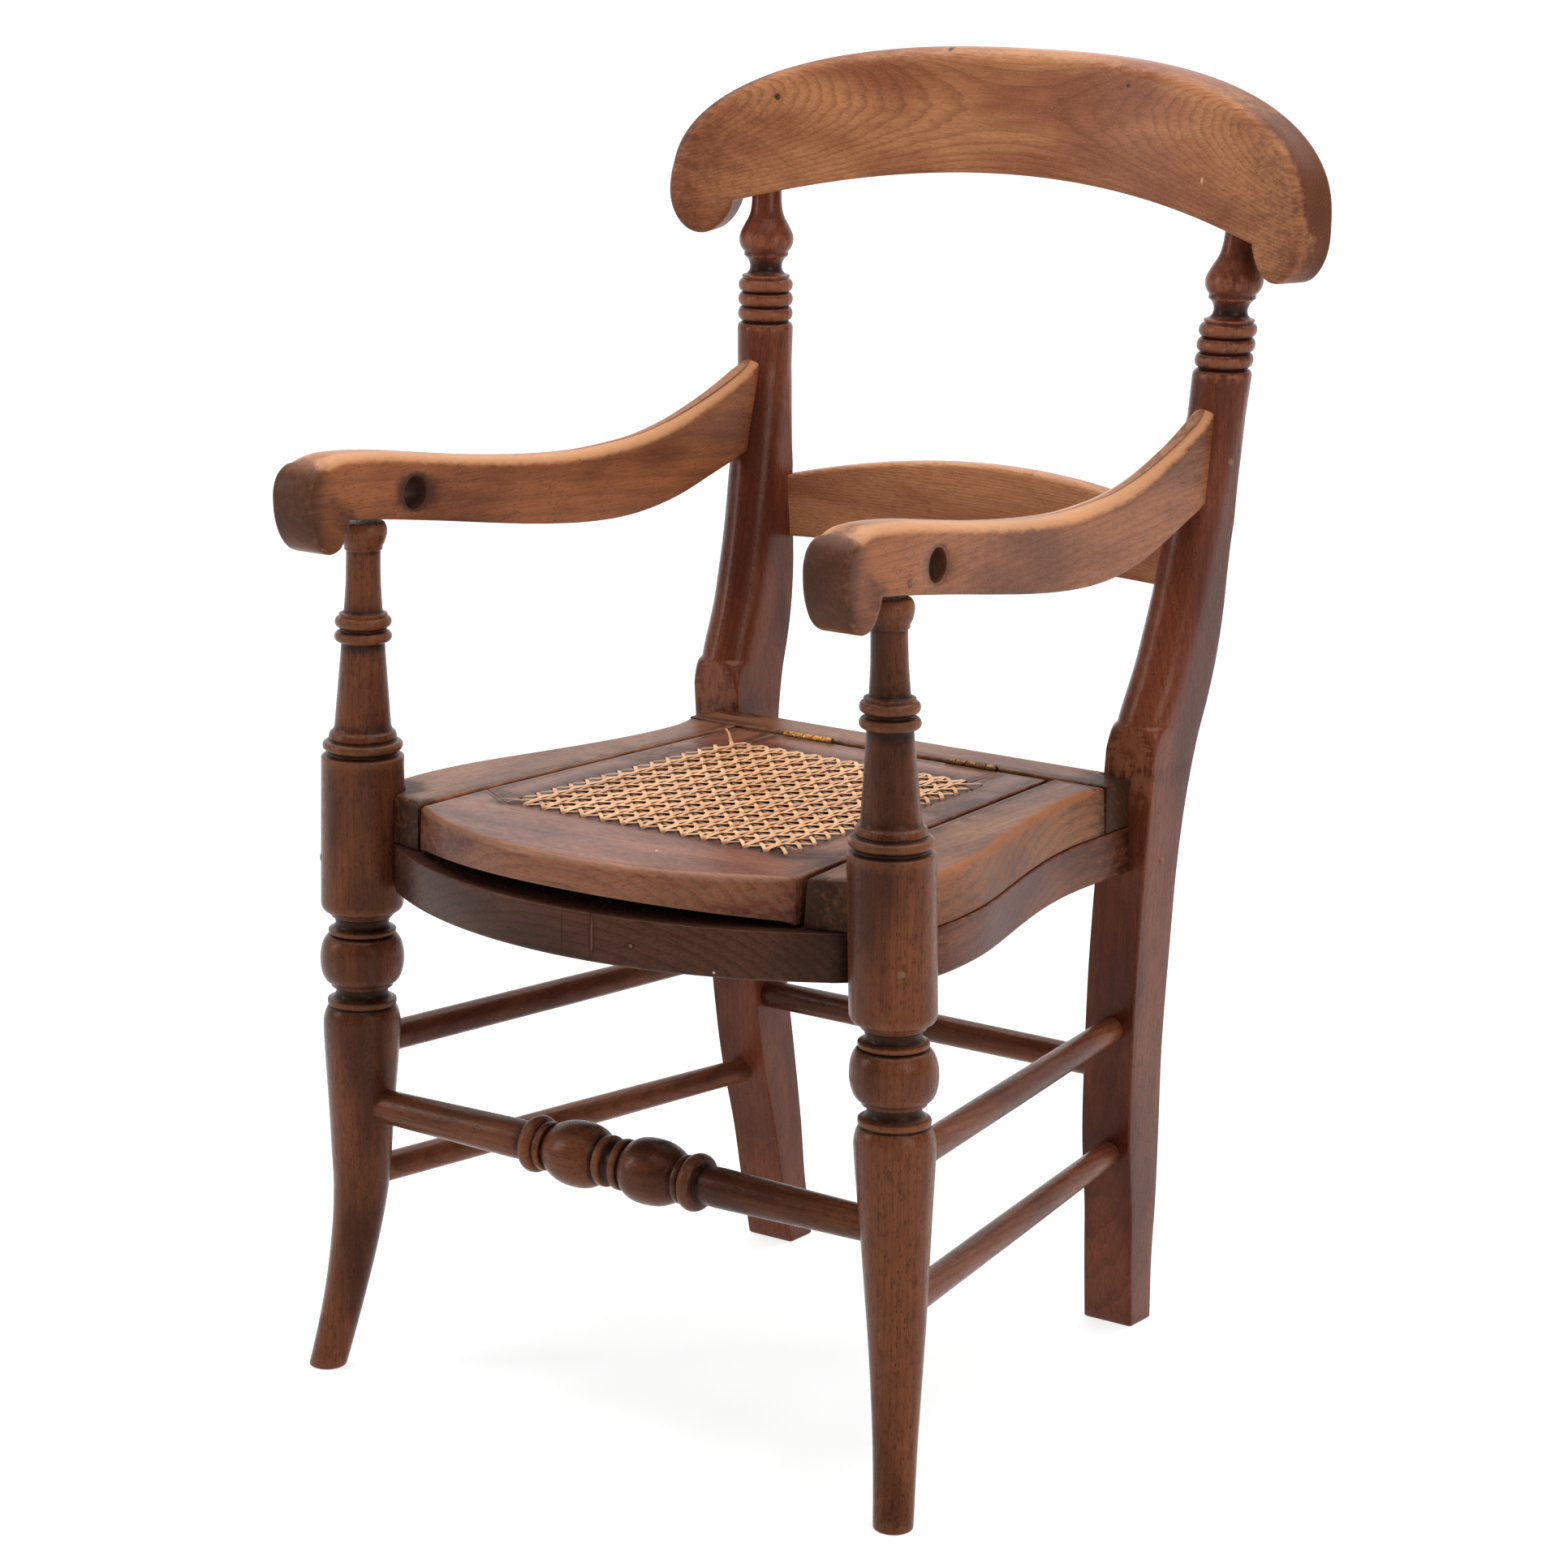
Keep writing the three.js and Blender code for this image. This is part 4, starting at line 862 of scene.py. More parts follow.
ARM_TOP = [
    (-181, 444.5), (-174, 447), (-163, 448), (-136, 446), (-102, 441), (-67, 436), (-30, 432),
    (3, 430), (30, 430.5), (55, 432.5), (80, 437.5), (106, 445.5), (123, 452), (146, 462),
]
ARM_BOTTOM = [
    (-161, 417.6), (-136, 414.6), (-101, 409.5), (-66, 404), (-30, 398.7), (4, 395), (32, 393.8),
    (55, 395), (80, 399), (107, 406.5), (132, 413.8), (146, 419),
]
ARM_FRONT = [
    (-181, 444.5), (-186.6, 440.2), (-189.4, 434.5), (-190, 428.5), (-189, 420), (-186, 412),
    (-181, 405.8), (-174, 403), (-168, 404.7), (-164.4, 409.2), (-163, 413),
]
ARM_INNER = [(-190, 135.4), (-140, 134.2), (150, 127)]
ARM_OUTER = [(-190, 158.6), (-140, 158), (0, 148.4), (150, 138.2)]
ARM_NICK = [(-163, 413), (-162.2, 417.8), (-157, 417.2)]  # behind the scroll
ROD_HOLE = (-118, 425)
ROD_HOLE_RADIUS = 7.75


def arm():
    # The top edge's pale wear is rubbed wood and painted sheen.
    over = Edge(high=(4.6, 9.0), low=(4.6, 9.0), wear=0.95)
    nose = Edge(high=(2.4, 3.0), low=(2.4, 3.0), wear=0.5, grime_and_shade=0.3)
    under = Edge(high=(1.2, 1.6), low=(1.2, 1.6), wear=0.25)
    nick = Edge(high=(0.7, 0.7), low=(0.7, 0.7), grime_and_shade=1.0, wear=0.0)
    rim = Edge(high=(0.7, 0.7), low=(0.7, 0.7), grime_and_shade=0.95, wear=0.0)
    outline = Outline([
        (curve(ARM_FRONT, 3), nose), (ARM_NICK, nick),
        (curve([ARM_NICK[-1], *ARM_BOTTOM[1:]], 5), under), ([ARM_BOTTOM[-1], ARM_TOP[-1]], Edge()),
        (curve(ARM_TOP, 5)[::-1], over),
    ], spacing=8)
    hole = Outline([(arc(ROD_HOLE, ROD_HOLE_RADIUS, 0, 360, 28), rim)])
    inner, outer = (
        lambda p, side=side: np.interp(p[:, 0], *zip(*side)) for side in (ARM_INNER, ARM_OUTER)
    )
    made = slab(outline, inner, outer, upright, [hole])
    # Darker towards the scroll at the front.
    made.grime_and_shade = np.maximum(made.grime_and_shade, 0.75 * np.clip((-166 - made.points[:, 1]) / 20, 0, 1))
    return made


pair("arm", arm(), "frame", arm_wood, along="y", offsets=((-40, -330), (-210, -520)), tilt=0.02)

# ---- Crest and back rail ----

BACK_BOW = 0.00104
BACK_Z = 545.0  # where the depths of the crest and the back rail are measured
CREST_HALF_WIDTH = 182.6
CREST_FRONT_Y = 174.0
CREST_THICKNESS = 20.5
CREST_ENDS_Z = 552.0
CREST_RISE = 68.5
CREST_POWERS = (2.55, 0.46)  # how square the crest's shoulders are
CREST_ARCH = (560.0, 21.0)  # the top of the arch and its drop
EAR = {"inner": 149.6, "middle": 166.1, "half": 16.5, "z": 546.0, "drop": 24.0}
EAR_JOINT = (148.2, 539.5)  # where the ear meets the arch
BACK_RAIL_HALF = 124.0
BACK_RAIL_Z = (370.0, 416.0)
BACK_RAIL_CROWN = (14.5, 116.0)  # the fall of its top, this far out from the middle
BACK_RAIL_FRONT_Y = 166.8
BACK_RAIL_THICKNESS = 11.5


def bowed(front_y, lean):
    """Puts an outline drawn in XZ on the bow, with its thickness going back from the face."""
    def place(flat, depth):
        x, z = flat.T
        slope = np.arctan(2 * BACK_BOW * x)
        y = front_y - BACK_BOW * x * x + np.cos(slope) * depth + lean * (z - BACK_Z)
        return np.column_stack([x + np.sin(slope) * depth, y, z])
    return place


def crest():
    x = CREST_HALF_WIDTH * np.sin(np.linspace(0, 1, 60) * math.pi / 2)
    share = x / CREST_HALF_WIDTH
    inner, outer = CREST_POWERS
    top = list(zip(x, CREST_ENDS_Z + CREST_RISE * (1 - share**inner) ** outer))
    ear = []
    for a in np.linspace(0, math.pi, 22):
        z = EAR["z"] - EAR["drop"] * math.sin(a)
        if a < math.pi / 2 or z < EAR_JOINT[1]:
            ear.append((EAR["middle"] + EAR["half"] * math.cos(a), z))
    arch_top, arch_drop = CREST_ARCH
    arch = [(u, arch_top - arch_drop * (u / EAR["inner"]) ** 2)
            for u in np.linspace(EAR_JOINT[0], 0, 26)]
    # The top rounding's pale wear is rubbed wood and painted sheen.
    over = Edge(low=(8, 8), high=(3, 3), wear=0.6)
    below = Edge(low=(1.8, 1.8), high=(1.5, 1.5), wear=0.45)
    ears = Edge(low=(3, 3), high=(2, 2), wear=0.4)
    half = [(top, over), ([top[-1], *ear, arch[0]], ears), (arch, below)]
    other = [(flipped(run), edge) for run, edge in half[::-1]]
    made = slab(Outline(half + other, spacing=7), 0, CREST_THICKNESS,
                bowed(CREST_FRONT_Y, STILE_LEAN[1]), spacing=12)
    x, y, z = made.points.T
    depth = y - (CREST_FRONT_Y - BACK_BOW * x * x + STILE_LEAN[1] * (z - BACK_Z))
    reach = np.clip((np.abs(x) - 70) / 110, 0, 1)
    # Darker towards the ends, most at the back.
    made.grime_and_shade = np.maximum(made.grime_and_shade, reach * np.where(depth > 5, 0.95, 0.5))
    made.wear *= 0.75 - 0.55 * reach
    return made


piece("crest_rail", crest().grained("x", (-118, -598)), "frame", crest_wood)


def back_rail():
    half = BACK_RAIL_HALF
    low_z, high_z = BACK_RAIL_Z
    fall, out = BACK_RAIL_CROWN
    top = [(u, high_z - fall * (u / out) ** 2) for u in np.linspace(-half, half, 32)]
    bottom = [(u, low_z) for u in np.linspace(-half, half, 26)]
    over = Edge(low=(2.5, 2.5), high=(2.2, 2.2), wear=0.5)
    below = Edge(low=(1.5, 1.5), high=(1.5, 1.5), wear=0.3)
    outline = Outline([
        (bottom, below), ([bottom[-1], top[-1]], Edge()), (top[::-1], over),
        ([top[0], bottom[0]], Edge()),
    ])
    return slab(outline, 0, BACK_RAIL_THICKNESS, bowed(BACK_RAIL_FRONT_Y, 0.0), spacing=10)


piece("back_rail", back_rail().grained("x", (-120, -620), 0.03), "frame", crest_wood)

# ---- Seat: upper boards and lower rails ----

SEAT_SIDE = [
    (153, -118), (154.5, -104), (154, -88), (151.5, -68), (147, -48), (139.8, -22), (132, 8),
    (126.8, 35), (124.6, 58), (124.3, 81.4),
]
UPPER_INSET = 1.2
RAIL_FRONT_Y = -118.0  # where the side rails meet the front rail
FRONT_RAIL_BOW = (132.0, -139.5, -184.0)  # its corner and the Y of its front
FRONT_RAIL_HALF = 127.0  # of its face
FRONT_RAIL_END_X = 136.0
GAP = 0.3  # between the lower rails
REAR_RAIL = (104.8, 103.4, 128.0)  # half of its width, front and back
NOTCH_RADIUS = 20.2
notch_centre = front_leg_axis(275.0)[:2]

OUTER_EDGE = Edge(high=(3.6, 4.6), low=(0.6, 0.6), lean=2.6, wear=1.0, grime_and_shade=0.1)
SLOT_EDGE = Edge(high=(1.0, 1.1), low=(0.5, 0.5), wear=0.6, grime_and_shade=0.5)
JOINT_EDGE = Edge(high=(0.3, 0.3), low=(0.3, 0.3), wear=0.0, grime_and_shade=0.9)
NOTCH_EDGE = Edge(high=(0.6, 0.6), low=(0.5, 0.5), wear=0.2, grime_and_shade=0.9)
RAIL_EDGE = Edge(high=(0.8, 0.8), low=(1.6, 1.8), wear=0.5, grime_and_shade=0.2)


def side_run(inset):
    return curve([(x - inset, y) for x, y in SEAT_SIDE], 3)


def seat_board():
    front, back = SLOT_FRONT[1], SEAT_SIDE[-1][1]
    outer = side_run(UPPER_INSET)
    notch = arc(notch_centre, NOTCH_RADIUS, 184, 86.2, 12)
    made = board([
        ([(board_edge(front), front), notch[0]], OUTER_EDGE), (notch, NOTCH_EDGE),
        ([notch[-1], outer[1]], OUTER_EDGE), (outer[1:], OUTER_EDGE),
        ([outer[-1], (board_edge(back), back)], JOINT_EDGE),
        ([(board_edge(back), back), (board_edge(front), front)], SLOT_EDGE),
    ], UPPER_BOTTOM, SEAT_TOP)
    # Darker towards the front end.
    made.grime_and_shade = np.maximum(made.grime_and_shade, np.clip((-136 - made.points[:, 1]) / 8, 0, 0.8))
    return made


pair("seat_board", seat_board(), "frame", seat_wood, along="y",
     offsets=((-40, -190), (-220, -150)), tilt=0.01)


def seat_rail():
    outer = side_run(0)
    back = REAR_BOARD_Y[1]
    inner_front = (slot_x(RAIL_FRONT_Y) - RAIL_LEDGE, RAIL_FRONT_Y)
    inner_back = (slot_x(back) - RAIL_LEDGE, back)
    outer_back = (outer[-1][0], back)
    return board([
        ([inner_front, outer[0]], JOINT_EDGE), (outer, RAIL_EDGE),
        ([outer[-1], outer_back], RAIL_EDGE), ([outer_back, inner_back], JOINT_EDGE),
        ([inner_back, inner_front], RAIL_EDGE),
    ], LOWER_BOTTOM, LOWER_TOP)


pair("seat_rail", seat_rail(), "frame", side_rail_wood, along="y",
     offsets=((-10, -150), (-90, -330)))


def rear_board():
    front, step, back = REAR_BOARD_Y
    end, between = REAR_BOARD_HALF
    side = Edge(high=(1.6, 2.0), low=(0.5, 0.5), wear=0.7, grime_and_shade=0.2)
    seat = board_edge(front)
    made = board([
        ([(-end, front), (-seat, front)], JOINT_EDGE),
        ([(-seat, front), (seat, front)], SLOT_EDGE),
        ([(seat, front), (end, front)], JOINT_EDGE), ([(end, front), (end, step)], side),
        ([(end, step), (between, step), (between, back)], NOTCH_EDGE),
        ([(between, back), (-between, back)], side),
        ([(-between, back), (-between, step), (-end, step)], NOTCH_EDGE),
        ([(-end, step), (-end, front)], side),
    ], UPPER_BOTTOM, SEAT_TOP + 0.5)
    # Darker towards the right-hand end.
    made.grime_and_shade = np.maximum(made.grime_and_shade, np.clip((made.points[:, 0] - 104) / 12, 0, 0.85))
    return made


piece("rear_seat_board", rear_board().grained("x", (-60, -250)), "frame", seat_wood)


def bow_front(corner_x, corner_y, front_y, steps=36):
    """An arc from one front corner to the other through the front of the seat."""
    rise = corner_y - front_y
    radius = (corner_x**2 + rise**2) / (2 * rise)
    half = math.degrees(math.asin(corner_x / radius))
    return arc((0, front_y + radius), radius, -90 - half, -90 + half, steps)


def front_rail():
    front = [p for p in bow_front(*FRONT_RAIL_BOW, 60) if abs(p[0]) < FRONT_RAIL_HALF]
    end = (FRONT_RAIL_END_X, RAIL_FRONT_Y - GAP)
    notch = [*arc(notch_centre, NOTCH_RADIUS + GAP, 184, 134, 8), end]
    other = flipped(notch)
    return board([
        ([other[-1], *front, notch[0]], RAIL_EDGE), (notch, NOTCH_EDGE),
        ([notch[-1], other[0]], JOINT_EDGE), (other, NOTCH_EDGE),
    ], LOWER_BOTTOM, LOWER_TOP)


piece("front_seat_rail", front_rail().grained("x", (260, -180)), "frame", rail_wood)


def rear_rail():
    half, front, back = REAR_RAIL
    corners = [(-half, front), (half, front), (half, back), (-half, back), (-half, front)]
    return slab(Outline([(corners, RAIL_EDGE)], spacing=30), LOWER_BOTTOM, LOWER_TOP, level)


piece("rear_seat_rail", rear_rail().grained("x", (-150, -300)), "frame", rail_wood)


POT_HOLE_Y = -42.0
POT_HOLE_RADIUS = 62.0
POT_BOARD_TOP = LOWER_BOTTOM + 14.0


def pot_board():
    right = [(slot_x(y) - RAIL_LEDGE - GAP, y) for y in (RAIL_FRONT_Y + GAP, REAR_BOARD_Y[1])]
    left = flipped(right)
    rim = Edge(high=(2, 2), low=(1, 1), wear=0.7)
    hole = Outline([(arc((0, POT_HOLE_Y), POT_HOLE_RADIUS, 0, 360, 72), rim)])
    outline = Outline([([left[-1], *right, *left], JOINT_EDGE)], spacing=24)
    return slab(outline, LOWER_BOTTOM, POT_BOARD_TOP, level, [hole])


piece("pot_board", pot_board().grained("y", (-30, -220)), "frame", rail_wood)

# ---- Lid ----

LID_FRONT_Y = -183.0
LID_CORNER_Y = -148.5
V_SIDE_Y = -103.0
V_POINT = (80.0, -118.5)
OPENING_FRONT = (72.0, -111.0)
OPENING_REAR = (67.0, 42.0)
SEAM = 0.25
CANE_FRONT = (80.0, -119.0)
CANE_REAR = (74.5, 50.0)
SPACES = 14
ROW_SPREAD = 0.045  # how much the rows open out from front to rear
HOLE_RADIUS = 1.55
HOLLOW_BACK_Y = -146.5
HOLLOW_DEPTH = (2.2, 5.6)  # at the sides, and how much more in the middle


def cane_y(row):
    share = row / SPACES
    share = (1 - ROW_SPREAD) * share + ROW_SPREAD * share**2
    return CANE_FRONT[1] + (CANE_REAR[1] - CANE_FRONT[1]) * share


def cane_x(column, y):
    share = (y - CANE_FRONT[1]) / (CANE_REAR[1] - CANE_FRONT[1])
    half = CANE_FRONT[0] + share * (CANE_REAR[0] - CANE_FRONT[0])
    return half * (column * 2 / SPACES - 1)


def cane_holes(columns, rows):
    edge = Edge(high=(0.35, 0.35), low=(0.2, 0.2), grime_and_shade=0.7, wear=0.0)
    made = []
    for column in columns:
        for row in rows:
            y = cane_y(row)
            x = cane_x(column, y)
            made.append(Outline([(arc((x, y), HOLE_RADIUS, 0, 360, 10), edge)], corner=0.2))
    return made


LID_EDGE = Edge(high=(3.4, 3.4), low=(1.2, 1.2), lean=0.8, wear=1.0)
OPENING_EDGE = Edge(high=(0.8, 0.8), low=(0.6, 0.6), wear=0.3, grime_and_shade=0.5)


def finger_hollow(p):
    """The lid's underside: a crescent is hollowed out behind its front edge."""
    x, y = p.T
    across = np.clip(1 - (x / SLOT_FRONT[0]) ** 2, 0, 1)
    forward = np.clip((HOLLOW_BACK_Y - y) / 3, 0, 1)
    depth = HOLLOW_DEPTH[0] + HOLLOW_DEPTH[1] * across
    return UPPER_BOTTOM + depth * forward**2 * (3 - 2 * forward)


def lid_front():
    front = bow_front(lid_edge(LID_CORNER_Y), LID_CORNER_Y, LID_FRONT_Y)
    shoulder = [(lid_edge(V_SIDE_Y), V_SIDE_Y), V_POINT, OPENING_FRONT]
    other = flipped(shoulder)
    return board([
        (front, LID_EDGE), ([front[-1], shoulder[0]], SLOT_EDGE), (shoulder, JOINT_EDGE),
        ([shoulder[-1], other[0]], OPENING_EDGE), (other, JOINT_EDGE),
        ([other[-1], front[0]], SLOT_EDGE),
    ], finger_hollow, SEAT_TOP, cane_holes(range(1, SPACES), [0]))


piece("lid_front_rail", lid_front().grained("x", (230, -250), 0.01), "lid", lid_wood)


def lid_stile():
    opening, point, side = (
        (x, y + SEAM) for x, y in (OPENING_FRONT, V_POINT, (lid_edge(V_SIDE_Y), V_SIDE_Y))
    )
    rear, inner = (lid_edge(LID_REAR_Y), LID_REAR_Y), (OPENING_REAR[0], LID_REAR_Y)
    return board([
        ([opening, point, side], JOINT_EDGE), ([side, rear], SLOT_EDGE),
        ([rear, inner], SLOT_EDGE), ([inner, OPENING_REAR], JOINT_EDGE),
        ([OPENING_REAR, opening], OPENING_EDGE),
    ], UPPER_BOTTOM, SEAT_TOP, cane_holes([SPACES], range(1, SPACES)))


pair("lid_stile", lid_stile(), "lid", lid_wood, along="y", offsets=((-50, -170), (-130, -260)))


def lid_rear():
    half = OPENING_REAR[0] - SEAM
    y0, y1 = OPENING_REAR[1], LID_REAR_Y
    return board([
        ([(-half, y0), (half, y0)], OPENING_EDGE), ([(half, y0), (half, y1)], JOINT_EDGE),
        ([(half, y1), (-half, y1)], SLOT_EDGE), ([(-half, y1), (-half, y0)], JOINT_EDGE),
    ], UPPER_BOTTOM, SEAT_TOP, cane_holes(range(2, SPACES - 1), [SPACES]))


piece("lid_rear_rail", lid_rear().grained("x", (-80, -190)), "lid", lid_wood)

# ---- Cane ----

STRAND_WIDTH = 1.95
STRAND_THICKNESS = 0.5
PAIR_SPREAD = 1.35  # half of the way between the strands of a pair
HOLE_SPREAD = 0.45
CANE_Z = 287.0
SECTION = [(-0.5, 0.0), (-0.28, 0.42), (0.28, 0.42), (0.5, 0.0), (0.0, -0.45)]
STRAND_STEP = 0.95
DIVE_LENGTH, DIVE_DEPTH = 2.0, 2.4  # at a hole
SAG_LENGTH, SAG_DEPTH = 9.0, 0.35  # near the lid's wood
LEVEL = 0.25  # how far the strands of a pair rise and fall where pairs cross
BACKWARD_LEVEL = 0.35  # the heights of the strands, from CANE_Z
ACROSS_LEVEL = -0.85
RISING_LEVELS = (0.15, -0.1)  # at the nodes, and between them
FALLING_LEVELS = (-0.5, 0.2)


def strand(path, width, tone, dirt_and_shade):
    """A flat strand along a path, with a crowned top."""
    path = np.asarray(path, float)
    ahead = np.gradient(path, axis=0)
    ahead /= np.linalg.norm(ahead, axis=1)[:, None]
    side = np.cross(ahead, UP)
    side /= np.linalg.norm(side, axis=1)[:, None]
    over = np.cross(side, ahead)
    rings = [path + side * across * width + over * up * STRAND_THICKNESS for across, up in SECTION]
    made = stacked(np.stack(rings, 1), tone, dirt_and_shade)
    offset = random.uniform(-900, 900, 3)
    along = np.cumsum(np.r_[0, np.linalg.norm(np.diff(path, axis=0), axis=1)])
    grain = np.zeros((len(made.points), 3))
    grain[:-2, 0] = np.tile([across * width for across, up in SECTION], len(path))
    grain[:-2, 2] = np.repeat(along, len(SECTION))
    made.grain = grain + offset
    return made


def woven(points, heights):
    """A path through crossings at given heights, that dives into a hole at each end."""
    points, heights = np.asarray(points, float), np.asarray(heights, float)
    at = np.concatenate([[0], np.cumsum(np.hypot(*np.diff(points, axis=0).T))])
    s = np.linspace(0, at[-1], max(8, int(at[-1] / STRAND_STEP)))
    z = blurred(np.interp(s, at, heights), 0.8)
    end = np.minimum(s, at[-1] - s)
    dive = np.clip(1 - end / DIVE_LENGTH, 0, 1) ** 2 * DIVE_DEPTH
    sag = np.clip(1 - end / SAG_LENGTH, 0, 1) * SAG_DEPTH
    x, y = (np.interp(s, at, column) for column in points.T)
    return np.column_stack([x, y, CANE_Z + z - dive - sag])


def straight_strand(column, row, sign):
    """One of a pair. Column or row is None, for strands that run across or front to back."""
    points, heights = [], []
    for k in range(SPACES + 1):
        at_hole = k in (0, SPACES)
        spread = sign * (HOLE_SPREAD if at_hole else PAIR_SPREAD)
        for cross in (0,) if at_hole else (-1, 1):
            if row is None:
                y = cane_y(k) + cross * PAIR_SPREAD
                points.append((cane_x(column, y) + spread, y))
                heights.append(BACKWARD_LEVEL - LEVEL * np.sign(sign * cross))
            else:
                y = cane_y(row) + spread
                points.append((cane_x(k, y) + cross * PAIR_SPREAD, y))
                heights.append(ACROSS_LEVEL + LEVEL * np.sign(sign * cross))
    return woven(points, heights)


def diagonal_strand(start, step):
    """A strand from hole to hole. At the nodes the falling ones pass under the rising ones."""
    points, heights = [], []
    column, row = start
    at_node, between = FALLING_LEVELS if step[0] * step[1] < 0 else RISING_LEVELS

    def add(at_column, at_row, shift, height):
        y = cane_y(at_row) + shift * step[1]
        points.append((cane_x(at_column, y) + shift * step[0], y))
        heights.append(height)

    while 0 <= column <= SPACES and 0 <= row <= SPACES:
        if column in (0, SPACES) or row in (0, SPACES):
            add(column, row, 0, 0)
        else:
            for shift in (-PAIR_SPREAD, 0, PAIR_SPREAD):
                add(column, row, shift, at_node)
        column, row = column + step[0], row + step[1]
        if 0 <= column <= SPACES and 0 <= row <= SPACES:
            add(column - step[0] / 2, row - step[1] / 2, 0, between)
    return woven(points, heights) if len(points) > 3 else None


# Loose ends at the left-hand corner holes: steps to the right, back and up.
REAR_LOOSE_END = ((2.5, -3, -0.2), (0.5, -1, 0.9), (-1.5, 0.5, 3), (-3.6, 1, 4.6))
FRONT_LOOSE_END = ((8, 5, 0.5), (3, 2.4, 0.6), (-1, 1.5, 0.3), (-4.5, 0.5, -0.2))


def cane():
    made = []
    for k in range(1, SPACES):
        for sign in (-1, 1):
            made.append((straight_strand(k, None, sign), 0.4))
            made.append((straight_strand(None, k, sign), 0.0))
    for first_row, step, pale in ((0, (1, 1), 0.35), (SPACES, (1, -1), 0.5)):
        starts = [(c, first_row) for c in range(SPACES)] + [(0, r) for r in range(1, SPACES)]
        made += [(diagonal_strand(start, step), pale) for start in starts]
    solids = []
    for path, pale in made:
        if path is None:
            continue
        tone = float(np.clip(pale + random.normal(0, 0.16), 0, 1))
        # Painted shade: the lower a strand lies, the darker it is, as if shaded by the strands that
        # cross over it.
        dirt_and_shade = np.clip(CANE_Z - path[:, 2], 0, 1) * 0.9
        solids.append(strand(path, STRAND_WIDTH * random.uniform(0.93, 1.05), tone, dirt_and_shade))
    for (x, y), steps, width, tone, dirt_and_shade in (
        ((cane_x(0, CANE_REAR[1]), CANE_REAR[1]), REAR_LOOSE_END, 1.3, 0.3, (0.1, 0.1)),
        ((-CANE_FRONT[0], CANE_FRONT[1]), FRONT_LOOSE_END, 1.5, 0.1, (0.0, 0.8)),
    ):
        loose = curve([(x + right, y + back, CANE_Z + up) for right, back, up in steps], 5)
        solids.append(strand(loose, width, tone, np.linspace(*dirt_and_shade, len(loose))))
    return solids


piece("cane_weave", cane(), "lid", cane_strands, replaces="cane_panel", sharp=70)

# ---- Stretchers ----

FRONT_STRETCHER = [
    (0, 9.4), (2.4, 9.6), (2.9, 11.9), (3.6, 12.1), (6.2, 12), (6.8, 11.4), (7.1, 10.2),
    *curve([(7.3, 10.2), (10, 12.9), (14, 14.8), (20, 15.5), (27, 14.9), (33, 12.7), (37, 9.8)]),
    (37.4, 9.3), (37.8, 9.3), (38.1, 11.4), (41.2, 11.6), (41.5, 10.8), (41.9, 10.8),
    *bead((42.2, 11.2), (49.4, 10.8), 13.5), (49.7, 9.4), (50.3, 9), (52, 9), (59, 9.3),
    (100, 8.6), (146, 7.9),
]
STRETCHER_Z = 131.8
ROD_ROUND = 0.8
ROD_SWELL = 0.25
FRONT_INSET = 7.0  # how far from the front leg's middle a side stretcher starts
REAR_TENON = 10.0
REAR_FALL = 0.6
REAR_STRETCHER = (107, 119, 137)  # the right-hand end
REAR_STRETCHER_RADIUS = 7.0


def front_stretcher():
    whole = flipped(FRONT_STRETCHER[1:]) + FRONT_STRETCHER
    start = (0, front_leg_axis(STRETCHER_Z)[1], STRETCHER_Z)
    return turned(profile(whole), start, RIGHT)


piece("front_stretcher", front_stretcher().grained("x", (175, -170)), "frame", leg_wood)


def rod(start, end, start_radius, end_radius):
    """A plain turned rod, a little thicker in the middle and with its ends rounded over."""
    start, end = np.array(start, float), np.array(end, float)
    length = np.linalg.norm(end - start)
    shape = profile([
        (0, start_radius - ROD_ROUND), (ROD_ROUND, start_radius),
        (length * 0.5, (start_radius + end_radius) / 2 + ROD_SWELL),
        (length - ROD_ROUND, end_radius), (length, end_radius - ROD_ROUND),
    ], longest=14, turn=6)
    return turned(shape, start, end - start, 40)


def side_stretcher(z, rear_x, front_radius, rear_radius):
    """A rod from inside the front leg to inside the rear leg."""
    start = front_leg_axis(z)
    rear_y = interpolate(REAR_LEG_FRONT, z) + REAR_TENON
    end = np.array([rear_x, rear_y, z - REAR_FALL])
    ahead = (end - start) / np.linalg.norm(end - start)
    return rod(start + FRONT_INSET * ahead, end, front_radius, rear_radius)


# Height, X of the rear end, front and rear radius, and the timbers of the two sides.
SIDE_STRETCHERS = {
    "upper_side_stretcher": ((160.6, 114, 7.25, 6.15), ((-60, -240), (-150, -90))),
    "lower_side_stretcher": ((95, 110, 7.1, 6.1), ((-180, -30), (-70, -160))),
}
for name, (sizes, timbers) in SIDE_STRETCHERS.items():
    pair(name, side_stretcher(*sizes), "frame", side_rail_wood, along="y",
         offsets=timbers)
rear_stretcher = rod(REAR_STRETCHER * np.array([-1, 1, 1]), REAR_STRETCHER,
                     REAR_STRETCHER_RADIUS, REAR_STRETCHER_RADIUS)
piece("rear_stretcher", rear_stretcher.grained("x", (-60, -60)), "frame", leg_wood)

# ---- Pegs and hinges ----

PEGS = {
    "front_leg_peg": ((164.3, -152.1, 253), (-0.69, 0.72, 0)),
    "arm_peg": ((158.2, -141.3, 421), (-1, 0, 0)),
    "stile_peg": ((145.3, 149.5, 435.5), (-1, 0.1, 0)),
    "rear_leg_peg": ((133.3, 118, 245), (-1, 0, -0.06)),
}
PEG_RADIUS = 2.1


def peg(head, drive):
    shape = profile([(-0.45, 0.1), (-0.4, 1.1), (-0.15, 1.8), (0.3, PEG_RADIUS), (4, PEG_RADIUS)])
    made = turned(shape, head, drive, 20)
    made.grime_and_shade[:] = 0.7
    return made


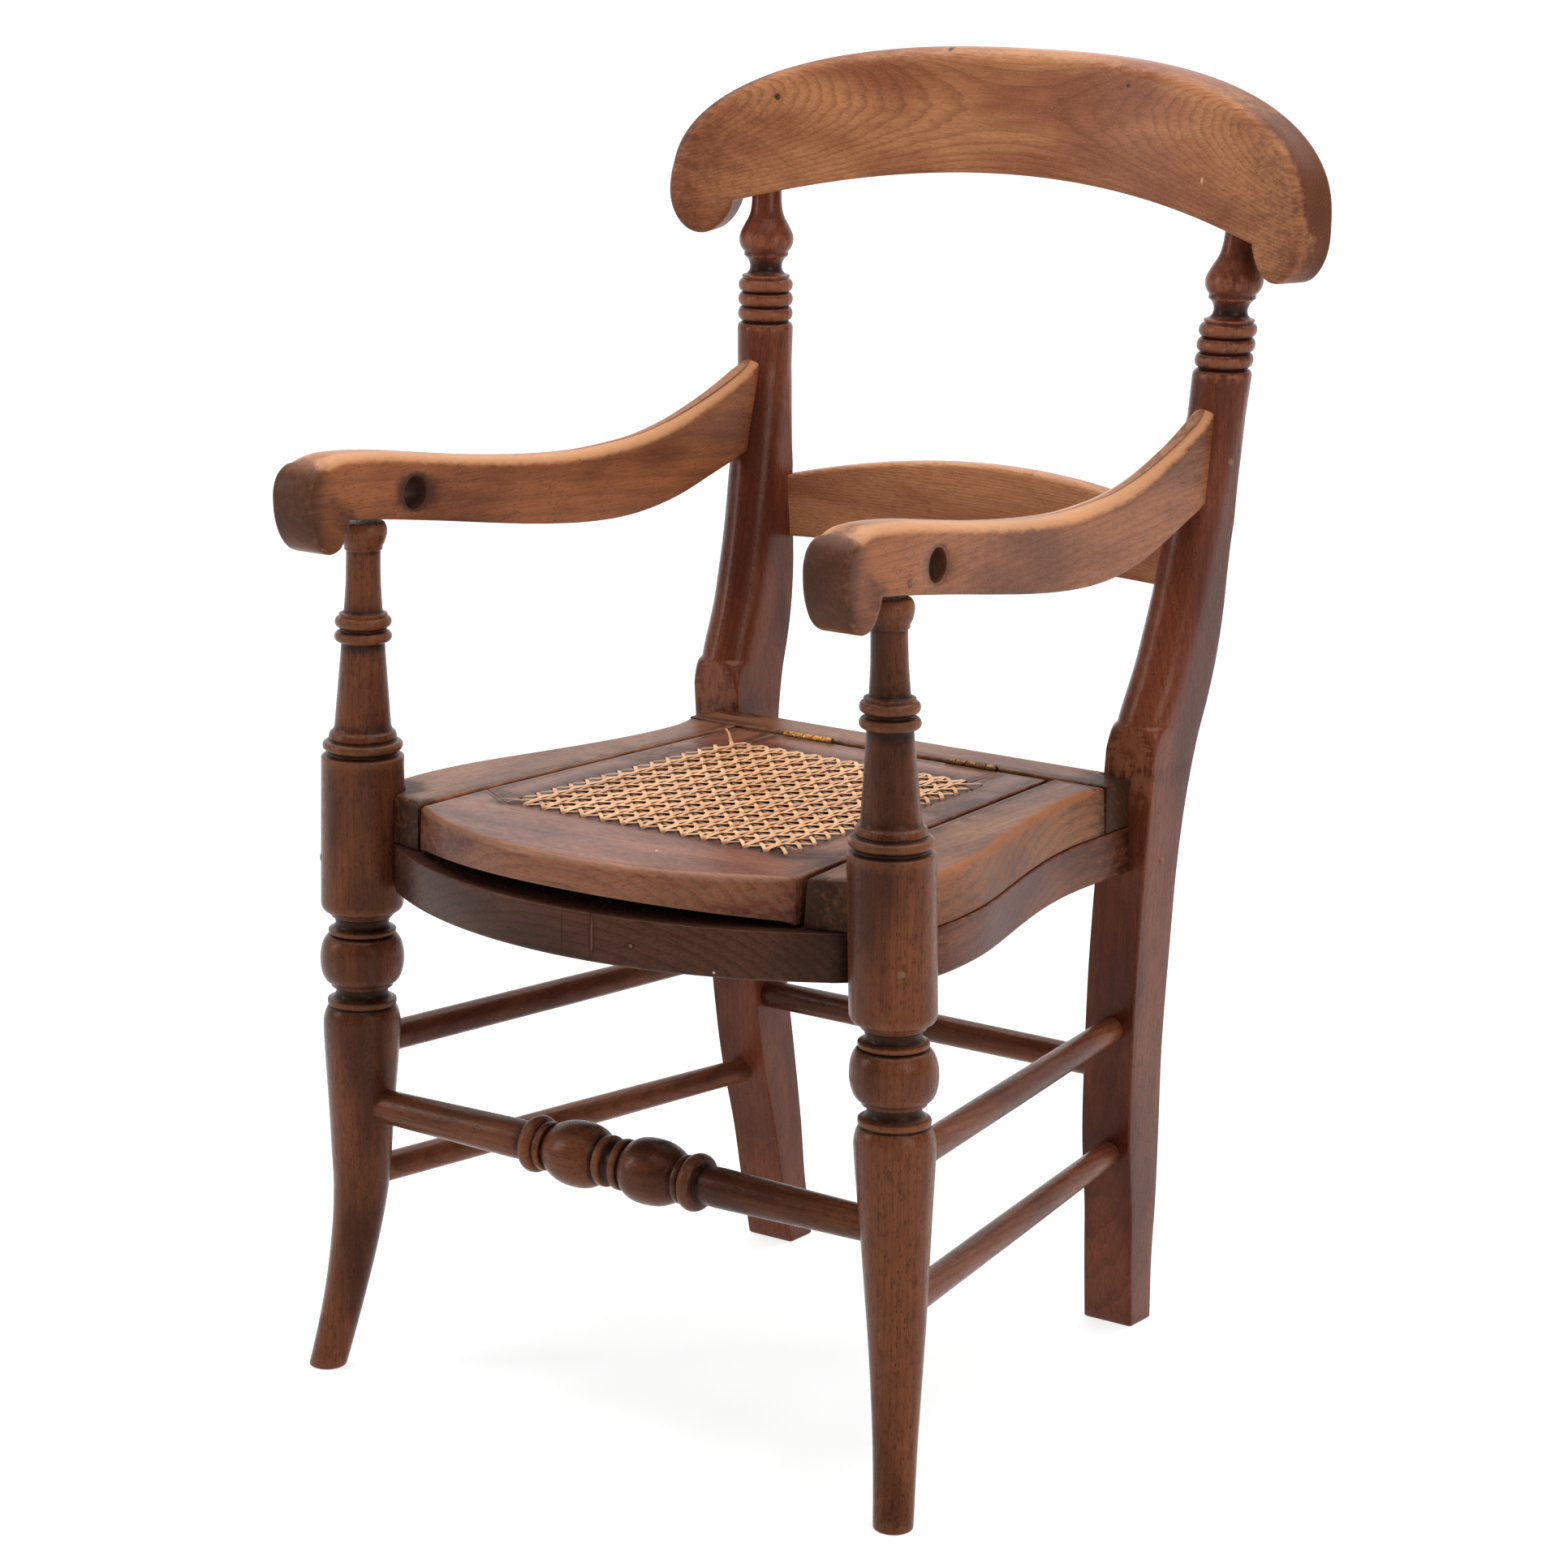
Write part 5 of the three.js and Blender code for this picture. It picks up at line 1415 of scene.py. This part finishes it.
for name, place in PEGS.items():
    pair(name, peg(*place), "frame", peg_wood, along="x")

HINGE = {"x": 48.15, "length": 28.7, "y": 79.5, "z": 286.3, "radius": 1.9, "knuckles": 5}
KNUCKLE_GAP = 0.3
LEAF_Z = (268.0, 285.2)
LEAF_THICKNESS = 1.2
LEAF_INSET = 0.3


def hinge_bar(start, end, core, radius, bevel, sides, x=0.0):
    """A bevelled bar on the hinge's axis, with its ends closed in to a core."""
    shape = profile([
        (start, core), (start, radius - bevel), (start + bevel, radius), (end - bevel, radius),
        (end, radius - bevel), (end, core),
    ], softness=0.5)
    return turned(shape, (x, HINGE["y"], HINGE["z"]), RIGHT, sides)


def hinge_ends(hand):
    middle = HINGE["x"] if hand == "right" else -HINGE["x"]
    return middle - HINGE["length"] / 2, middle + HINGE["length"] / 2


def block(low, high):
    """A brass plate with its arrises taken off."""
    (x0, y0, z0), (x1, y1, z1) = low, high
    finish = Edge(high=(0.2, 0.2), low=(0.2, 0.2), wear=0.3)
    corners = [(x0, y0), (x1, y0), (x1, y1), (x0, y1), (x0, y0)]
    return slab(Outline([(corners, finish)], corner=0.2, spacing=60), z0, z1, level, spacing=60)


def hinge(hand, side, owner, body):
    """A leaf and its knuckles. Side is 1 for the leaf on the seat and -1 for the one on the lid."""
    outer = REAR_BOARD_Y[0] - LEAF_INSET if side > 0 else LID_REAR_Y + LEAF_INSET
    low_y, high_y = sorted((outer - side * LEAF_THICKNESS, outer))
    low_x, high_x = hinge_ends(hand)
    solids = [block((low_x, low_y, LEAF_Z[0]), (high_x, high_y, LEAF_Z[1]))]
    pitch = (HINGE["length"] + KNUCKLE_GAP) / HINGE["knuckles"]
    for i in range(0 if side > 0 else 1, HINGE["knuckles"], 2):
        start = low_x + i * pitch
        solids.append(hinge_bar(start, start + pitch - KNUCKLE_GAP, core=0.9,
                                radius=HINGE["radius"], bevel=0.3, sides=24))
    piece(f"{hand}_hinge_{owner}_leaf", solids, body, brass if hand == "left" else tarnished)


for hand in ("left", "right"):
    hinge(hand, 1, "seat", "frame")
    hinge(hand, -1, "lid", "lid")
    reach = HINGE["length"] / 2
    pin = hinge_bar(-reach, reach, core=0.1, radius=0.7, bevel=0.2, sides=16,
                    x=sum(hinge_ends(hand)) / 2)
    piece(f"{hand}_hinge_pin", pin, "frame", brass)

for name, node in frame["nodes"].items():
    if "_screw_" in name:
        node.data.materials.clear()
        node.data.materials.append(brass)

# ---- Floor, light and camera, in metres ----

FLOOR_REACH = 30.0
FLOOR_GREYS = ((0.26, 0.26, 0.26, 1), (0.28, 0.28, 0.28, 1))
FLOOR_GLOW = 0.74
BACKDROP = (-0.579, 0.815, 0.0)  # the way to the bright backdrop
BACKDROP_WIDTH = 0.9
WORLD_DARK, WORLD_BRIGHT = 0.22, 1.2
SUN = {"power": 4.5, "angle": 75, "tilt": -8}
LIGHT_AIM = (0, 0, 0.35)
SOFTBOXES = {
    "front_left": {"place": (-1.9, -1.6, 1.2), "size": (0.35, 1.3), "power": 17},
    "right": {"place": (2.4, -0.7, 1.3), "size": (1.2, 1.2), "power": 22},
}
CAMERA = {"place": (1.1535, -1.63802, 0.7567), "yaw": -35.39, "pitch": -13.29, "roll": 0.77,
          "lens": 99.43, "sensor": 36}


def stage():
    s = Shader(bpy.data.materials.new("floor"))
    colour = s.mix(s.noise(s.place(), 3.0), *FLOOR_GREYS)
    reach = FLOOR_REACH
    corners = [(-reach, -reach, 0), (reach, -reach, 0), (reach, reach, 0), (-reach, reach, 0)]
    mesh = bpy.data.meshes.new("floor")
    mesh.from_pydata(corners, [], [(0, 1, 2, 3)])
    mesh.materials.append(s.finish(Base_Color=colour, Roughness=0.9, Emission_Color=(1, 1, 1, 1),
                                   Emission_Strength=FLOOR_GLOW))
    placed("floor", mesh)


def world():
    s = Shader(bpy.data.worlds.new("studio"))
    towards = s.vector("DOT_PRODUCT", s.place("Generated"), BACKDROP, output="Value")
    strength = s.ramp(towards, 0.0, BACKDROP_WIDTH, WORLD_DARK, WORLD_BRIGHT)
    bpy.context.scene.world = s.finish("Background", Strength=strength, Color=(1, 1, 1, 1))


def sun():
    light = bpy.data.lights.new("skylight", "SUN")
    light.energy = SUN["power"]
    light.angle = math.radians(SUN["angle"])
    placed("skylight", light).rotation_euler = (math.radians(SUN["tilt"]), 0, 0)


def softbox(name, place, size, power):
    light = bpy.data.lights.new(name, "AREA")
    light.shape = "RECTANGLE"
    light.size, light.size_y = size
    light.energy = power
    made = placed(name, light)
    made.location = place
    made.rotation_euler = (Vector(LIGHT_AIM) - Vector(place)).to_track_quat("-Z", "Y").to_euler()


def camera():
    data = bpy.data.cameras.new("camera")
    data.lens = CAMERA["lens"]
    data.sensor_width = CAMERA["sensor"]
    yaw, pitch, roll = (math.radians(CAMERA[key]) for key in ("yaw", "pitch", "roll"))
    level_ahead = Vector((math.sin(yaw), math.cos(yaw), 0))
    ahead = level_ahead * math.cos(pitch) + Vector(UP) * math.sin(pitch)
    right = ahead.cross(Vector(UP)).normalized()
    above = right.cross(ahead)
    turned_right = math.cos(roll) * right + math.sin(roll) * above
    turned_up = math.cos(roll) * above - math.sin(roll) * right
    turn = Matrix((turned_right, turned_up, -ahead)).transposed().to_4x4()
    made = placed("camera", data)
    made.matrix_world = Matrix.Translation(CAMERA["place"]) @ turn
    bpy.context.scene.camera = made


stage()
world()
sun()
for name, settings in SOFTBOXES.items():
    softbox(name, **settings)
camera()
bpy.context.scene.view_settings.view_transform = "Standard"
